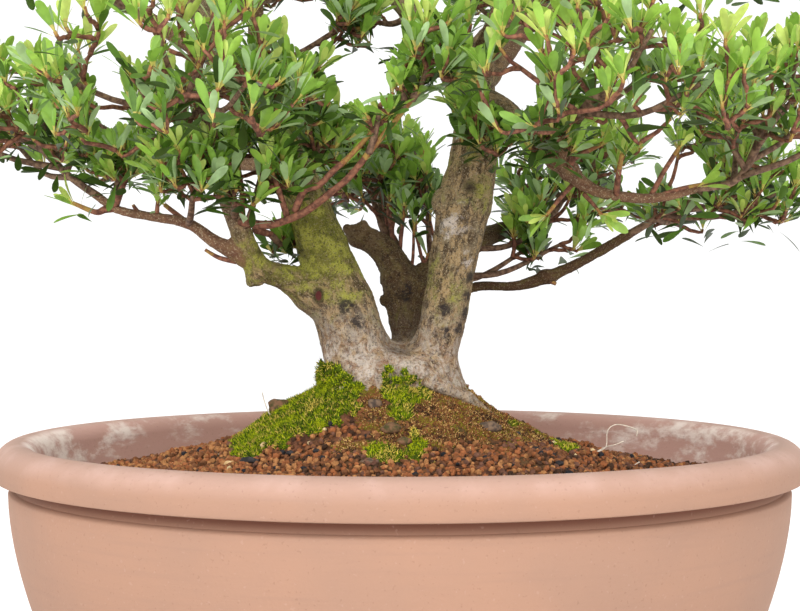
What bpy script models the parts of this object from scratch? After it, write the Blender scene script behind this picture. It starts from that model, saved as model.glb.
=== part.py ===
"""Azalea bonsai in a round clay training pot: three stems on one flared foot, boughs, and pads of foliage.

Metres, +Z up. The origin is the middle of the pot's flat underside, and the front of the plant faces -Y.
Headings are degrees seen from above, 0 towards -Y and 90 towards +X.
"""

import math
import random

import bmesh
import bpy
from mathutils import Vector

SEED = 1907
GAP = 0.0003  # clearance between pieces that meet
MERGE_DISTANCE = 0.000001
UPWARD = Vector((0, 0, 1))

# Pot
POT_HEIGHT = 0.135
POT_RIM_RADIUS = 0.197
POT_RIM_DEPTH = 0.0165
POT_MOUTH_RADIUS = 0.176
POT_BODY_RADIUS = 0.190
POT_GROOVE_RADIUS = 0.1865
POT_GROOVE_HEIGHT = 0.006
POT_FOOT_RADIUS = 0.154
POT_FOOT_EDGE = 0.003
POT_BODY_SWELL = 1.7  # 1 gives straight sides, more rounds them out above the foot
POT_BODY_RINGS = 4
POT_LIP_INNER = 0.010  # radius of the lip's turn down into the mouth
POT_LIP_OUTER_RISE = 0.0115
POT_ARRIS = 0.001  # small slope at each edge of the groove
POT_FLOOR_HEIGHT = 0.012
POT_FLOOR_RADIUS = 0.140
POT_FLOOR_CORNER = (0.006, 0.010)  # width and rise of the slope between floor and wall
POT_SIDES = 36
DRAIN_COUNT = 3
DRAIN_RADIUS = 0.011
DRAIN_RING_RADIUS = 0.075
DRAIN_SIDES = 16
DRAIN_FIRST_HEADING = 60

# Soil, heaped round the foot of the trunk
SOIL_LEVEL = 0.113
SOIL_WALL_GAP = 0.0008
SOIL_TRUNK_GAP = 0.0005
HEAP_CENTRE = (-0.004, 0.005)
HEAP_TOP = 0.024  # rise of the steep cone round the trunk, over the apron
HEAP_INNER_RADIUS = 0.036
HEAP_FOOT_RADIUS = 0.080
HEAP_HOLLOW = 1.25  # 1 gives the cone straight sides, more hollows them
HEAP_HOLLOW_RIGHT = 0.25  # added towards +X and taken off towards -X
APRON_TOP = 0.021
APRON_INNER_RADIUS = 0.050
APRON_RADIUS = 0.168
HEAP_SIDES = 24
HEAP_RINGS = (0.044, 0.053, 0.063, 0.075, 0.090, 0.113, 0.145)
LUMP_HEIGHT = 0.0020  # how far the heap's lumps rise and its hollows dip
LUMP_SPACING = 0.030
LUMP_PHASES = (0.6, 1.1)
LUMP_FADE = 0.016  # width round the trunk over which the lumps grow to full height
MOSS_THICKNESS = 0.004
MOSS_CLEARANCE = 0.0005
MOSS_PATCHES = {"moss_left": (15, 20, 0, 4), "moss_front": (23, 26, 0, 3), "moss_right": (4, 7, 1, 3)}

# Trunk, from a flat cut at soil level to the flat fork that carries the three stems
FORK_HEIGHT = 0.176
TRUNK_RINGS = (  # height above the soil, half width, half depth, how far the root ridges stand out
    (0.000, 0.058, 0.052, 0.22),
    (0.012, 0.051, 0.045, 0.17),
    (0.026, 0.044, 0.038, 0.10),
    (0.040, 0.0380, 0.032, 0.04),
    (0.047, 0.0360, 0.030, 0.01),
    (0.0627, 0.0352, 0.0300, 0.00),
)
ROOT_HEADINGS = (20, 78, 128, 190, 247, 312)
ROOT_HALF_WIDTH = 26

# Limbs: (x, y, z, radius) at a few places along each, joined by a smooth curve
STEM_SIDES = 9
BOUGH_SIDES = 6
STEPS_A_SPAN = 2
STEMS = {
    "stem_left": (
        (-0.0213, 0.000, FORK_HEIGHT, 0.0174),
        (-0.0290, 0.000, 0.200, 0.0158),
        (-0.0380, 0.000, 0.226, 0.0130),
        (-0.0480, 0.002, 0.254, 0.0110),
        (-0.0610, 0.005, 0.284, 0.0096),
        (-0.0800, 0.008, 0.316, 0.0084),
        (-0.0980, 0.010, 0.343, 0.0072),
        (-0.1060, 0.011, 0.372, 0.0056),
        (-0.1040, 0.010, 0.398, 0.0044),
    ),
    "stem_right": (
        (0.0182, 0.000, FORK_HEIGHT, 0.0120),
        (0.0220, 0.000, 0.195, 0.0116),
        (0.0268, 0.000, 0.222, 0.0120),
        (0.0325, 0.000, 0.252, 0.0134),
        (0.0375, 0.000, 0.280, 0.0112),
        (0.0355, 0.001, 0.312, 0.0100),
        (0.0420, 0.002, 0.328, 0.0080),
        (0.0560, 0.004, 0.345, 0.0062),
        (0.0720, 0.006, 0.372, 0.0052),
        (0.0760, 0.006, 0.400, 0.0042),
    ),
    "stem_back": (
        (0.0025, 0.0225, FORK_HEIGHT, 0.0080),
        (0.0022, 0.0240, 0.189, 0.0076),
        (0.0020, 0.0262, 0.202, 0.0092),
        (-0.0005, 0.0280, 0.215, 0.0094),
        (-0.0065, 0.0295, 0.226, 0.0078),
        (-0.0150, 0.0300, 0.2330, 0.0068),
        (-0.0235, 0.0300, 0.2365, 0.0062),
    ),
}
# Each bough leaves the limb it names, and its first place lies on that limb's own line
BOUGHS = {
    "bough_left_low": ("stem_left", (
        (-0.0375, 0.000, 0.205, 0.0075),
        (-0.0560, -0.010, 0.2130, 0.0060),
        (-0.0700, -0.020, 0.2200, 0.0056),
        (-0.0785, -0.030, 0.2400, 0.0050),
        (-0.0850, -0.042, 0.2600, 0.0044),
        (-0.0880, -0.054, 0.2780, 0.0038),
    )),
    "bough_left_side": ("bough_left_low", (
        (-0.0722, -0.0216, 0.2232, 0.0038),
        (-0.0880, -0.026, 0.2296, 0.0031),
        (-0.1020, -0.027, 0.2390, 0.0028),
        (-0.1210, -0.028, 0.2426, 0.0026),
        (-0.1360, -0.028, 0.2458, 0.0025),
        (-0.1480, -0.028, 0.2540, 0.0024),
    )),
    "bough_left_back": ("stem_left", (
        (-0.0520, 0.003, 0.264, 0.0056),
        (-0.0660, 0.030, 0.2720, 0.0046),
        (-0.0860, 0.056, 0.2760, 0.0040),
        (-0.1040, 0.072, 0.2820, 0.0034),
    )),
    "bough_back_middle": ("stem_back", (
        (0.0002, 0.0276, 0.212, 0.0044),
        (-0.0030, 0.050, 0.2290, 0.0038),
        (-0.0090, 0.078, 0.2450, 0.0034),
        (-0.0100, 0.104, 0.2600, 0.0030),
    )),
    "bough_back_right": ("stem_back", (
        (0.0019, 0.0263, 0.203, 0.0066),
        (0.0190, 0.037, 0.2190, 0.0062),
        (0.0430, 0.052, 0.2350, 0.0058),
        (0.0680, 0.074, 0.2440, 0.0042),
    )),
    "bough_right_low": ("stem_back", (
        (0.0022, 0.0237, 0.187, 0.0040),
        (0.0220, 0.041, 0.2010, 0.0030),
        (0.0400, 0.046, 0.2095, 0.0027),
        (0.0600, 0.045, 0.2098, 0.0028),
        (0.0760, 0.043, 0.2140, 0.0034),
        (0.0960, 0.040, 0.2230, 0.0028),
        (0.1220, 0.034, 0.2380, 0.0024),
    )),
    "bough_right_side": ("stem_right", (
        (0.0364, 0.000, 0.296, 0.0068),
        (0.0520, -0.006, 0.2950, 0.0056),
        (0.0680, -0.018, 0.2790, 0.0046),
        (0.0820, -0.034, 0.2620, 0.0040),
        (0.0960, -0.040, 0.2530, 0.0030),
        (0.1200, -0.042, 0.2504, 0.0026),
        (0.1440, -0.040, 0.2560, 0.0025),
    )),
    "bough_right_front": ("bough_right_side", (
        (0.0752, -0.026, 0.2702, 0.0036),
        (0.0780, -0.044, 0.2730, 0.0032),
        (0.0800, -0.062, 0.2800, 0.0028),
    )),
    "bough_mid_left": ("stem_left", (
        (-0.0860, 0.0085, 0.325, 0.0048),
        (-0.1080, 0.006, 0.3330, 0.0042),
        (-0.1300, 0.002, 0.3460, 0.0036),
    )),
    "bough_mid_left_front": ("stem_left", (
        (-0.0700, 0.0065, 0.300, 0.0050),
        (-0.0700, -0.018, 0.3180, 0.0044),
        (-0.0680, -0.046, 0.3420, 0.0038),
        (-0.0680, -0.064, 0.3560, 0.0034),
    )),
    "bough_mid_left_back": ("stem_left", (
        (-0.0940, 0.0095, 0.336, 0.0046),
        (-0.0920, 0.034, 0.3480, 0.0040),
        (-0.0880, 0.062, 0.3600, 0.0034),
    )),
    "bough_mid_right_back": ("stem_right", (
        (0.0360, 0.001, 0.305, 0.0056),
        (0.0480, 0.026, 0.3200, 0.0048),
        (0.0620, 0.056, 0.3400, 0.0038),
    )),
    "bough_mid_right": ("stem_right", (
        (0.0530, 0.0035, 0.3415, 0.0048),
        (0.0780, 0.003, 0.3480, 0.0042),
        (0.1060, 0.001, 0.3560, 0.0034),
    )),
    "bough_mid_right_front": ("stem_right", (
        (0.0375, 0.001, 0.3180, 0.0052),
        (0.0430, -0.024, 0.3300, 0.0044),
        (0.0540, -0.062, 0.3560, 0.0034),
    )),
    "bough_top": ("stem_right", (
        (0.0356, 0.001, 0.3110, 0.0066),
        (0.0200, -0.001, 0.3310, 0.0062),
        (0.0060, 0.000, 0.3450, 0.0056),
        (-0.0070, 0.002, 0.3640, 0.0052),
        (-0.0120, 0.004, 0.3920, 0.0046),
        (-0.0090, 0.005, 0.4160, 0.0040),
    )),
}

# Foliage: each pad keeps to its own egg-shaped space, (bough that carries it, middle, half sizes)
PADS = {
    "leaves_left_low": ("bough_left_side", (-0.186, -0.022, 0.288), (0.066, 0.070, 0.046)),
    "leaves_left_front": ("bough_left_low", (-0.098, -0.112, 0.294), (0.080, 0.070, 0.054)),
    "leaves_left_back": ("bough_left_back", (-0.130, 0.098, 0.302), (0.078, 0.072, 0.050)),
    "leaves_back_middle": ("bough_back_middle", (-0.010, 0.152, 0.281), (0.070, 0.064, 0.052)),
    "leaves_back_right": ("bough_back_right", (0.104, 0.116, 0.272), (0.066, 0.064, 0.050)),
    "leaves_right_low": ("bough_right_low", (0.168, 0.048, 0.262), (0.062, 0.062, 0.046)),
    "leaves_right_side": ("bough_right_side", (0.184, -0.044, 0.298), (0.066, 0.066, 0.048)),
    "leaves_right_front": ("bough_right_front", (0.088, -0.114, 0.295), (0.080, 0.068, 0.053)),
    "leaves_mid_left": ("bough_mid_left", (-0.170, 0.000, 0.380), (0.072, 0.078, 0.046)),
    "leaves_mid_left_front": ("bough_mid_left_front", (-0.078, -0.108, 0.388), (0.078, 0.070, 0.046)),
    "leaves_mid_left_back": ("bough_mid_left_back", (-0.086, 0.110, 0.386), (0.076, 0.070, 0.046)),
    "leaves_mid_right_back": ("bough_mid_right_back", (0.076, 0.108, 0.376), (0.076, 0.070, 0.048)),
    "leaves_mid_right": ("bough_mid_right", (0.166, 0.000, 0.382), (0.074, 0.078, 0.046)),
    "leaves_mid_right_front": ("bough_mid_right_front", (0.072, -0.108, 0.386), (0.078, 0.070, 0.046)),
    "leaves_top_left": ("stem_left", (-0.098, 0.004, 0.446), (0.076, 0.086, 0.046)),
    "leaves_top_right": ("stem_right", (0.088, 0.004, 0.448), (0.078, 0.086, 0.046)),
    "leaves_top": ("bough_top", (-0.006, 0.006, 0.474), (0.070, 0.084, 0.050)),
}
TWIGS_A_PAD = 7
TWIG_SIDES = 3
PAD_STEM_SHARE = 0.75  # how far a pad's stem runs from its bough to the pad's middle
STEM_END_RADIUS = 0.0028
TWIG_ROOT_RADIUS = 0.0017
TWIG_TIP_RADIUS = 0.0014
TWIG_ROOT_SHARE = 0.35  # share of a pad's stem below its lowest twig
TWIG_SAG = 0.10  # share of a twig's length that its middle hangs down
TWIG_RISE_SPAN = 1.45  # twigs point from straight up (0) to straight down (2)
TWIG_TURN_STRAY = 0.25
TWIG_REACH = (0.48, 0.60)  # share of the pad's half size that twigs reach
LEAF_LENGTH = 0.038
LEAF_HALF_WIDTH = 0.0090
LEAF_HALF_THICKNESS = 0.0009
LEAF_WIDEST = 0.6  # share of the length from root to widest place
LEAF_DROOP = 0.06  # share of the length that the tip hangs below the blade
LEAF_ROOT_DEPTH = 0.0003  # how far past the twig's middle a leaf's root is sunk
LEAF_SPREAD = (1.0, 1.5)  # how far a leaf leans out, 1 is halfway to square
LEAF_STEP = 0.0045  # distance between two leaves along a twig
WHORLS = (0.002, 0.022)  # how far back from a twig's tip each whorl of leaves begins
LEAF_CLEARANCE = 0.0060  # between the middles of two leaves of a pad
TWIG_CLEARANCE = 0.0045  # between a leaf's middle and another twig
SPACE_MARGIN = 0.035  # share of a pad's half size kept free between two pads
LIMB_CLEARANCE = 0.002
GOLDEN_ANGLE = math.pi * (3.0 - math.sqrt(5.0))

# Colours, linear, with roughness
FINISHES = {
    "clay": ((0.62, 0.36, 0.25), 0.85),
    "soil": ((0.17, 0.06, 0.03), 0.95),
    "moss": ((0.14, 0.20, 0.02), 0.95),
    "bark": ((0.22, 0.17, 0.12), 0.85),
    "foliage": ((0.09, 0.22, 0.03), 0.45),
}


# ---------------------------------------------------------------- small helpers

def direction(heading):
    """Level unit direction for a heading in degrees."""
    angle = math.radians(heading)
    return Vector((math.sin(angle), -math.cos(angle), 0.0))


def smoothstep(value):
    value = max(0.0, min(1.0, value))
    return value * value * (3.0 - 2.0 * value)


def finish_material(finish):
    """The finish's material, made the first time it is asked for."""
    material = bpy.data.materials.get(finish)
    if material:
        return material
    colour, roughness = FINISHES[finish]
    material = bpy.data.materials.new(finish)
    material.use_nodes = True
    shader = material.node_tree.nodes["Principled BSDF"]
    shader.inputs["Base Color"].default_value = (*colour, 1.0)
    shader.inputs["Roughness"].default_value = roughness
    return material


def add_object(name, vertices, faces, finish, smooth=True):
    """An object from vertices and faces, with its normals pointing out."""
    mesh = bpy.data.meshes.new(name)
    mesh.from_pydata([tuple(vertex) for vertex in vertices], [], faces)
    shape = bmesh.new()
    shape.from_mesh(mesh)
    bmesh.ops.recalc_face_normals(shape, faces=shape.faces[:])
    shape.to_mesh(mesh)
    shape.free()
    if smooth:
        mesh.shade_smooth()
        mesh.set_sharp_from_angle(angle=math.radians(50))
    mesh.materials.append(finish_material(finish))
    part = bpy.data.objects.new(name, mesh)
    bpy.context.scene.collection.objects.link(part)
    return part


def stacked_rings(rings, downwards=False):
    """Triangles between rings of equal count, with a flat face at each end.

    Two skins that follow each other bend along the same diagonals, also where one is stacked downwards.
    """
    count = len(rings[0])
    vertices = [vertex for ring in rings for vertex in ring]
    faces = []
    for level in range(len(rings) - 1):
        low, high = level * count, (level + 1) * count
        if downwards:
            low, high = high, low
        for side in range(count):
            beside = (side + 1) % count
            faces.append((low + side, low + beside, high + beside))
            faces.append((low + side, high + beside, high + side))
    faces.append(tuple(range(count)))
    faces.append(tuple(range((len(rings) - 1) * count, len(rings) * count)))
    return vertices, faces


def apply_boolean(part, operation, cutter=None, collection=None):
    """Carry out one Boolean on a part now, and keep its result as the part's mesh."""
    boolean = part.modifiers.new(operation.lower(), "BOOLEAN")
    boolean.operation = operation
    boolean.solver = "EXACT"
    if collection:
        boolean.operand_type = "COLLECTION"
        boolean.collection = collection
    else:
        boolean.object = cutter
    bpy.context.view_layer.objects.active = part
    bpy.ops.object.modifier_apply(modifier=boolean.name)


def remove_object(part):
    mesh = part.data
    bpy.data.objects.remove(part)
    bpy.data.meshes.remove(mesh)


def keep_largest_body(part):
    """Drop loose scraps and the skins of sealed hollows, so that one closed body is left."""
    shape = bmesh.new()
    shape.from_mesh(part.data)
    bmesh.ops.remove_doubles(shape, verts=shape.verts[:], dist=MERGE_DISTANCE)
    bodies = []
    unseen = set(shape.faces)
    while unseen:
        body = [unseen.pop()]
        for face in body:
            for neighbour in {other for edge in face.edges for other in edge.link_faces}:
                if neighbour in unseen:
                    unseen.discard(neighbour)
                    body.append(neighbour)
        bodies.append(body)
    bodies.sort(key=len)
    for scrap in bodies[:-1]:
        bmesh.ops.delete(shape, geom=scrap, context="FACES")
    shape.to_mesh(part.data)
    shape.free()


def is_closed(part):
    """True where every edge of the part joins exactly two faces."""
    shape = bmesh.new()
    shape.from_mesh(part.data)
    closed = all(edge.is_manifold for edge in shape.edges)
    shape.free()
    return closed


# ---------------------------------------------------------------- pot

def pot_profile():
    """Radius and height along the pot's outline, from its foot round over the lip to the floor inside."""
    rim_low = POT_HEIGHT - POT_RIM_DEPTH
    groove_low = rim_low - POT_GROOVE_HEIGHT
    outline = [(POT_FOOT_RADIUS - POT_FOOT_EDGE, 0.0), (POT_FOOT_RADIUS, POT_FOOT_EDGE)]
    for ring in range(1, POT_BODY_RINGS + 1):
        share = ring / POT_BODY_RINGS
        swell = 1.0 - (1.0 - share) ** POT_BODY_SWELL
        outline.append((POT_FOOT_RADIUS + (POT_BODY_RADIUS - POT_FOOT_RADIUS) * swell, groove_low * share))
    outline += [(POT_GROOVE_RADIUS, groove_low + POT_ARRIS), (POT_GROOVE_RADIUS, rim_low - POT_ARRIS)]
    outline += [(POT_RIM_RADIUS - POT_ARRIS, rim_low), (POT_RIM_RADIUS, rim_low + POT_ARRIS)]
    # the rolled lip: a quarter turn outside the crest, a smaller one down into the mouth
    crest = POT_MOUTH_RADIUS + POT_LIP_INNER
    outline += quarter_turn(crest, POT_RIM_RADIUS - crest, POT_LIP_OUTER_RISE, 0, 4)
    outline += quarter_turn(crest, POT_LIP_INNER, POT_LIP_INNER, 90, 3)
    width, rise = POT_FLOOR_CORNER
    outline += [(POT_FLOOR_RADIUS + width, POT_FLOOR_HEIGHT + rise), (POT_FLOOR_RADIUS, POT_FLOOR_HEIGHT)]
    return outline


def quarter_turn(crest, width, rise, first_degrees, steps):
    """Outline places on a quarter of an ellipse whose top is the crest of the pot's lip."""
    places = []
    for step in range(1, steps + 1):
        turn = math.radians(first_degrees + 90 * step / steps)
        places.append((crest + width * math.cos(turn), POT_HEIGHT - rise + rise * math.sin(turn)))
    return places


def wall_radius(height):
    """Inside radius of the pot's wall at a height above its floor's corner."""
    top = POT_HEIGHT - POT_LIP_INNER
    low_radius, low = POT_FLOOR_RADIUS + POT_FLOOR_CORNER[0], POT_FLOOR_HEIGHT + POT_FLOOR_CORNER[1]
    return low_radius + (POT_MOUTH_RADIUS - low_radius) * (height - low) / (top - low)


def turned_ring(radius, height, sides=POT_SIDES):
    return [direction(360 * side / sides) * radius + Vector((0, 0, height)) for side in range(sides)]


def build_pot():
    rings = [turned_ring(radius, height) for radius, height in pot_profile()]
    pot = add_object("pot", *stacked_rings(rings), "clay")
    for number in range(DRAIN_COUNT):
        place = direction(DRAIN_FIRST_HEADING + 360 * number / DRAIN_COUNT) * DRAIN_RING_RADIUS
        bpy.ops.mesh.primitive_cylinder_add(
            vertices=DRAIN_SIDES, radius=DRAIN_RADIUS, depth=4 * POT_FLOOR_HEIGHT, location=place)
        drain = bpy.context.object
        apply_boolean(pot, "DIFFERENCE", cutter=drain)
        remove_object(drain)
    return pot


# ---------------------------------------------------------------- trunk and soil

def root_ridge(heading):
    """How strongly a root stands out at a heading, from 0 to 1."""
    ridge = 0.0
    for root in ROOT_HEADINGS:
        off = abs((heading - root + 180) % 360 - 180)
        ridge = max(ridge, smoothstep(1.0 - off / ROOT_HALF_WIDTH))
    return ridge


def trunk_ring(size, grow=0.0):
    """One level ring of the trunk, from a row of TRUNK_RINGS."""
    height, half_width, half_depth, ridge_share = size
    ring = []
    for side in range(HEAP_SIDES):
        heading = 360 * side / HEAP_SIDES
        level = direction(heading)
        stand_out = 1.0 + ridge_share * root_ridge(heading)
        ring.append(Vector((
            HEAP_CENTRE[0] + level.x * (half_width * stand_out + grow),
            HEAP_CENTRE[1] + level.y * (half_depth * stand_out + grow),
            SOIL_LEVEL + height,
        )))
    return ring


def build_trunk():
    rings = [trunk_ring(size) for size in TRUNK_RINGS]
    return add_object("trunk", *stacked_rings(rings), "bark")


def heap_rise(level, radius):
    """Height of the heap above the soil level, in a level direction at a radius from the trunk's middle."""
    hollow = HEAP_HOLLOW + HEAP_HOLLOW_RIGHT * level.x
    share = (radius - HEAP_INNER_RADIUS) / (HEAP_FOOT_RADIUS - HEAP_INNER_RADIUS)
    heap = max(0.0, min(1.0, 1.0 - share)) ** hollow
    apron = smoothstep(1.0 - (radius - APRON_INNER_RADIUS) / (APRON_RADIUS - APRON_INNER_RADIUS))
    return HEAP_TOP * heap + APRON_TOP * apron


def heap_lump(level, radius):
    """Lumps and hollows of the heap, in a level direction at a radius from the trunk's middle."""
    across, along = (math.sin(math.pi * radius * part / LUMP_SPACING + phase)
                     for part, phase in zip(level, LUMP_PHASES))
    return LUMP_HEIGHT * across * along * smoothstep((radius - HEAP_RINGS[0]) / LUMP_FADE)


def heap_ring(radius, lift=0.0):
    ring = []
    for side in range(HEAP_SIDES):
        level = direction(360 * side / HEAP_SIDES)
        ring.append(Vector((
            HEAP_CENTRE[0] + level.x * radius,
            HEAP_CENTRE[1] + level.y * radius,
            SOIL_LEVEL + heap_rise(level, radius) + heap_lump(level, radius) + lift,
        )))
    return ring


def build_soil():
    """The soil fills the pot, rises in a heap and leaves a hollow that the foot of the trunk stands in."""
    bottom = POT_FLOOR_HEIGHT + GAP
    rings = [turned_ring(POT_FLOOR_RADIUS - SOIL_WALL_GAP, bottom, HEAP_SIDES)]
    for height in (POT_FLOOR_HEIGHT + POT_FLOOR_CORNER[1] + GAP, SOIL_LEVEL):
        rings.append(turned_ring(wall_radius(height) - SOIL_WALL_GAP, height, HEAP_SIDES))
    rings += [heap_ring(radius) for radius in reversed(HEAP_RINGS)]
    for size in reversed(TRUNK_RINGS[:-1]):
        ring = trunk_ring(size, SOIL_TRUNK_GAP)
        if size[0] == 0.0:
            ring = [corner - Vector((0, 0, GAP)) for corner in ring]
        rings.append(ring)
    return add_object("soil", *stacked_rings(rings, downwards=True), "soil", smooth=False)


def build_moss(name, first_side, last_side, first_ring, last_ring):
    """A thin cushion of moss that lies on part of the heap, between two headings and two rings."""
    sides = range(first_side, last_side + 1)
    rings = range(first_ring, last_ring + 1)
    vertices, index = [], {}
    for layer in (0, 1):
        for ring in rings:
            for side in sides:
                edge = ring in (rings[0], rings[-1]) or side in (sides[0], sides[-1])
                thickness = MOSS_THICKNESS * (0.35 if edge else 1.0) if layer else 0.0
                index[layer, ring, side] = len(vertices)
                vertices.append(heap_ring(HEAP_RINGS[ring], MOSS_CLEARANCE + thickness)[side % HEAP_SIDES])
    faces = []
    for layer in (0, 1):
        for ring in rings[:-1]:
            for side in sides[:-1]:
                inner, outer = (ring, side), (ring + 1, side + 1)
                faces.append(tuple(index[(layer, *spot)] for spot in (inner, (ring, side + 1), outer)))
                faces.append(tuple(index[(layer, *spot)] for spot in (inner, outer, (ring + 1, side))))
    border = [(rings[0], side) for side in sides]
    border += [(ring, sides[-1]) for ring in rings[1:]]
    border += [(rings[-1], side) for side in reversed(sides[:-1])]
    border += [(ring, sides[0]) for ring in reversed(rings[1:-1])]
    for here, beside in zip(border, border[1:] + border[:1]):
        faces.append((index[(0, *here)], index[(0, *beside)], index[(1, *beside)], index[(1, *here)]))
    return add_object(name, vertices, faces, "moss")


# ---------------------------------------------------------------- limbs

def smooth_route(points, steps):
    """Places and radii along a smooth curve through the points (Catmull-Rom)."""
    rows = [Vector(point) for point in points]
    rows = [rows[0] * 2 - rows[1]] + rows + [rows[-1] * 2 - rows[-2]]
    route = []
    for span in range(1, len(rows) - 2):
        before, here, there, after = rows[span - 1:span + 3]
        for step in range(steps):
            t = step / steps
            route.append(0.5 * (2 * here + (there - before) * t
                                + (2 * before - 5 * here + 4 * there - after) * t ** 2
                                + (3 * here - before - 3 * there + after) * t ** 3))
    route.append(rows[-2])
    return [(Vector(row[:3]), row[3]) for row in route]


def route_place(route, share):
    """The place at a share of the way along a route, counted by its steps."""
    step = share * (len(route) - 1)
    before = min(int(step), len(route) - 2)
    return route[before][0].lerp(route[before + 1][0], step - before)


def tube_rings(route, sides, grow=0.0, foot=None):
    """Rings of a tapering tube that twists as little as it can, the first one square to the foot direction."""
    rings = []
    places = [place for place, _ in route]
    across = None
    for number, (place, radius) in enumerate(route):
        ahead = (places[min(number + 1, len(places) - 1)] - places[max(number - 1, 0)]).normalized()
        if foot is not None and number == 0:
            ahead = foot
        if across is None:
            across = ahead.orthogonal().normalized()
        across = (across - ahead * across.dot(ahead)).normalized()
        beside = ahead.cross(across)
        ring = []
        for side in range(sides):
            turn = 2 * math.pi * side / sides
            ring.append(place + (across * math.cos(turn) + beside * math.sin(turn)) * (radius + grow))
        rings.append(ring)
    return rings


def add_tube(name, route, sides, finish="bark", grow=0.0, foot=None):
    rings = tube_rings(route, sides, grow, foot)
    return add_object(name, *stacked_rings(rings), finish)


def build_limbs():
    """Stems on the fork, then boughs, each cut clear of the limb that it leaves. Gives every limb's route."""
    routes = {}
    for name, points in STEMS.items():
        route = smooth_route(points, STEPS_A_SPAN)
        route[0] = (route[0][0] + Vector((0, 0, GAP)), route[0][1])
        routes[name] = route
        add_tube(name, route, STEM_SIDES, foot=UPWARD)
    for name, (carrier, points) in BOUGHS.items():
        routes[name] = smooth_route(points, STEPS_A_SPAN)
        bough = add_tube(name, routes[name], BOUGH_SIDES)
        if carrier in STEMS:
            cutter = add_tube("cutter", routes[carrier], STEM_SIDES, grow=GAP, foot=UPWARD)
        else:
            cutter = add_tube("cutter", routes[carrier], BOUGH_SIDES, grow=GAP)
        apply_boolean(bough, "DIFFERENCE", cutter=cutter)
        remove_object(cutter)
        keep_largest_body(bough)
    return routes


# ---------------------------------------------------------------- foliage

def distance_in_pad(pad, place):
    """0 at the pad's middle and 1 on the skin of its space."""
    _, middle, half = PADS[pad]
    return math.sqrt(sum(((place[axis] - middle[axis]) / half[axis]) ** 2 for axis in range(3)))


def is_free(pad, places, limb_points):
    """True where all the places lie in the pad's own space and clear of every limb."""
    for place in places:
        depth = distance_in_pad(pad, place)
        if depth > 1.0:
            return False
        if any(distance_in_pad(other, place) < depth + SPACE_MARGIN for other in PADS if other != pad):
            return False
        if any((place - spot).length < radius + LIMB_CLEARANCE for spot, radius in limb_points):
            return False
    return True


def leaf_corners(root, ahead, up):
    """Six corners of one leaf: root, both sides, upper and lower face at its widest, and tip."""
    beside = ahead.cross(up).normalized()
    face = beside.cross(ahead).normalized()
    widest = root + ahead * LEAF_LENGTH * LEAF_WIDEST
    return [
        root - ahead * LEAF_ROOT_DEPTH,
        widest + beside * LEAF_HALF_WIDTH,
        widest + face * LEAF_HALF_THICKNESS,
        widest - beside * LEAF_HALF_WIDTH,
        widest - face * LEAF_HALF_THICKNESS,
        root + ahead * LEAF_LENGTH - face * LEAF_LENGTH * LEAF_DROOP,
    ]


LEAF_FACES = [(0, 1, 2), (0, 2, 3), (0, 3, 4), (0, 4, 1), (5, 2, 1), (5, 3, 2), (5, 4, 3), (5, 1, 4)]


def leaf_middles(corners):
    """Places along a leaf's middle, from a third of its length to its tip, and its two side corners."""
    root, tip = corners[0], corners[5]
    return [root.lerp(tip, share) for share in (0.35, 0.55, 0.75, 0.95)] + [corners[1], corners[3]]


def twig_frame(spine):
    """Direction of a twig's end, with the direction of one corner of its end ring and that across both."""
    ring = tube_rings(spine, TWIG_SIDES)[-1]
    along = (spine[-1][0] - spine[-2][0]).normalized()
    corner = (ring[0] - spine[-1][0]).normalized()
    return along, corner, along.cross(corner)


def pad_stem(pad, routes):
    """The pad's own stem, from the tip of its bough to near the pad's middle, and its first direction."""
    carrier, middle, _ = PADS[pad]
    tip, tip_radius = routes[carrier][-1]
    ahead = (tip - routes[carrier][-2][0]).normalized()
    start = tip + ahead * GAP
    heart = start.lerp(Vector(middle), PAD_STEM_SHARE)
    bend = start + ahead * (heart - start).length * 0.4
    places = ((*start, tip_radius * 0.85), (*bend, tip_radius * 0.75), (*heart, STEM_END_RADIUS))
    route = smooth_route(places, STEPS_A_SPAN)
    return route, ahead


def pad_twig(pad, stem_route, number, rng):
    """One twig from the stem towards its share of the pad's space, sagging a little halfway."""
    _, middle, half = PADS[pad]
    rise = 1.0 - TWIG_RISE_SPAN * (number + 0.5) / TWIGS_A_PAD
    turn = number * GOLDEN_ANGLE + rng.uniform(-TWIG_TURN_STRAY, TWIG_TURN_STRAY)
    level = math.sqrt(1.0 - rise * rise)
    outward = (level * math.cos(turn), level * math.sin(turn), rise)
    reach = rng.uniform(*TWIG_REACH)
    tip = Vector([middle[axis] + outward[axis] * half[axis] * reach for axis in range(3)])
    height = (TWIGS_A_PAD - number) / (TWIGS_A_PAD + 1)
    root = route_place(stem_route, TWIG_ROOT_SHARE + (1.0 - TWIG_ROOT_SHARE) * height)
    bend = root.lerp(tip, 0.5) - UPWARD * TWIG_SAG * (tip - root).length
    middle_radius = (TWIG_ROOT_RADIUS + TWIG_TIP_RADIUS) / 2
    return [(root, TWIG_ROOT_RADIUS), (bend, middle_radius), (tip, TWIG_TIP_RADIUS)]


def twig_leaves(spine, rng):
    """Corners of a twig's leaves: one ahead from its tip, and whorls of one leaf out of each of its faces."""
    along, corner, beside = twig_frame(spine)
    tip = spine[-1][0]
    yield leaf_corners(tip - along * LEAF_STEP / 2, along, corner)
    for start in WHORLS:
        for face in range(TWIG_SIDES):
            turn = 2 * math.pi * (face + 0.5) / TWIG_SIDES
            spread = corner * math.cos(turn) + beside * math.sin(turn)
            ahead = (along + spread * rng.uniform(*LEAF_SPREAD)).normalized()
            yield leaf_corners(tip - along * (start + LEAF_STEP * (face + 1)), ahead, along)


def is_apart(places, taken, clearance):
    return not any((place - other).length < clearance for place in places for other in taken)


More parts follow.
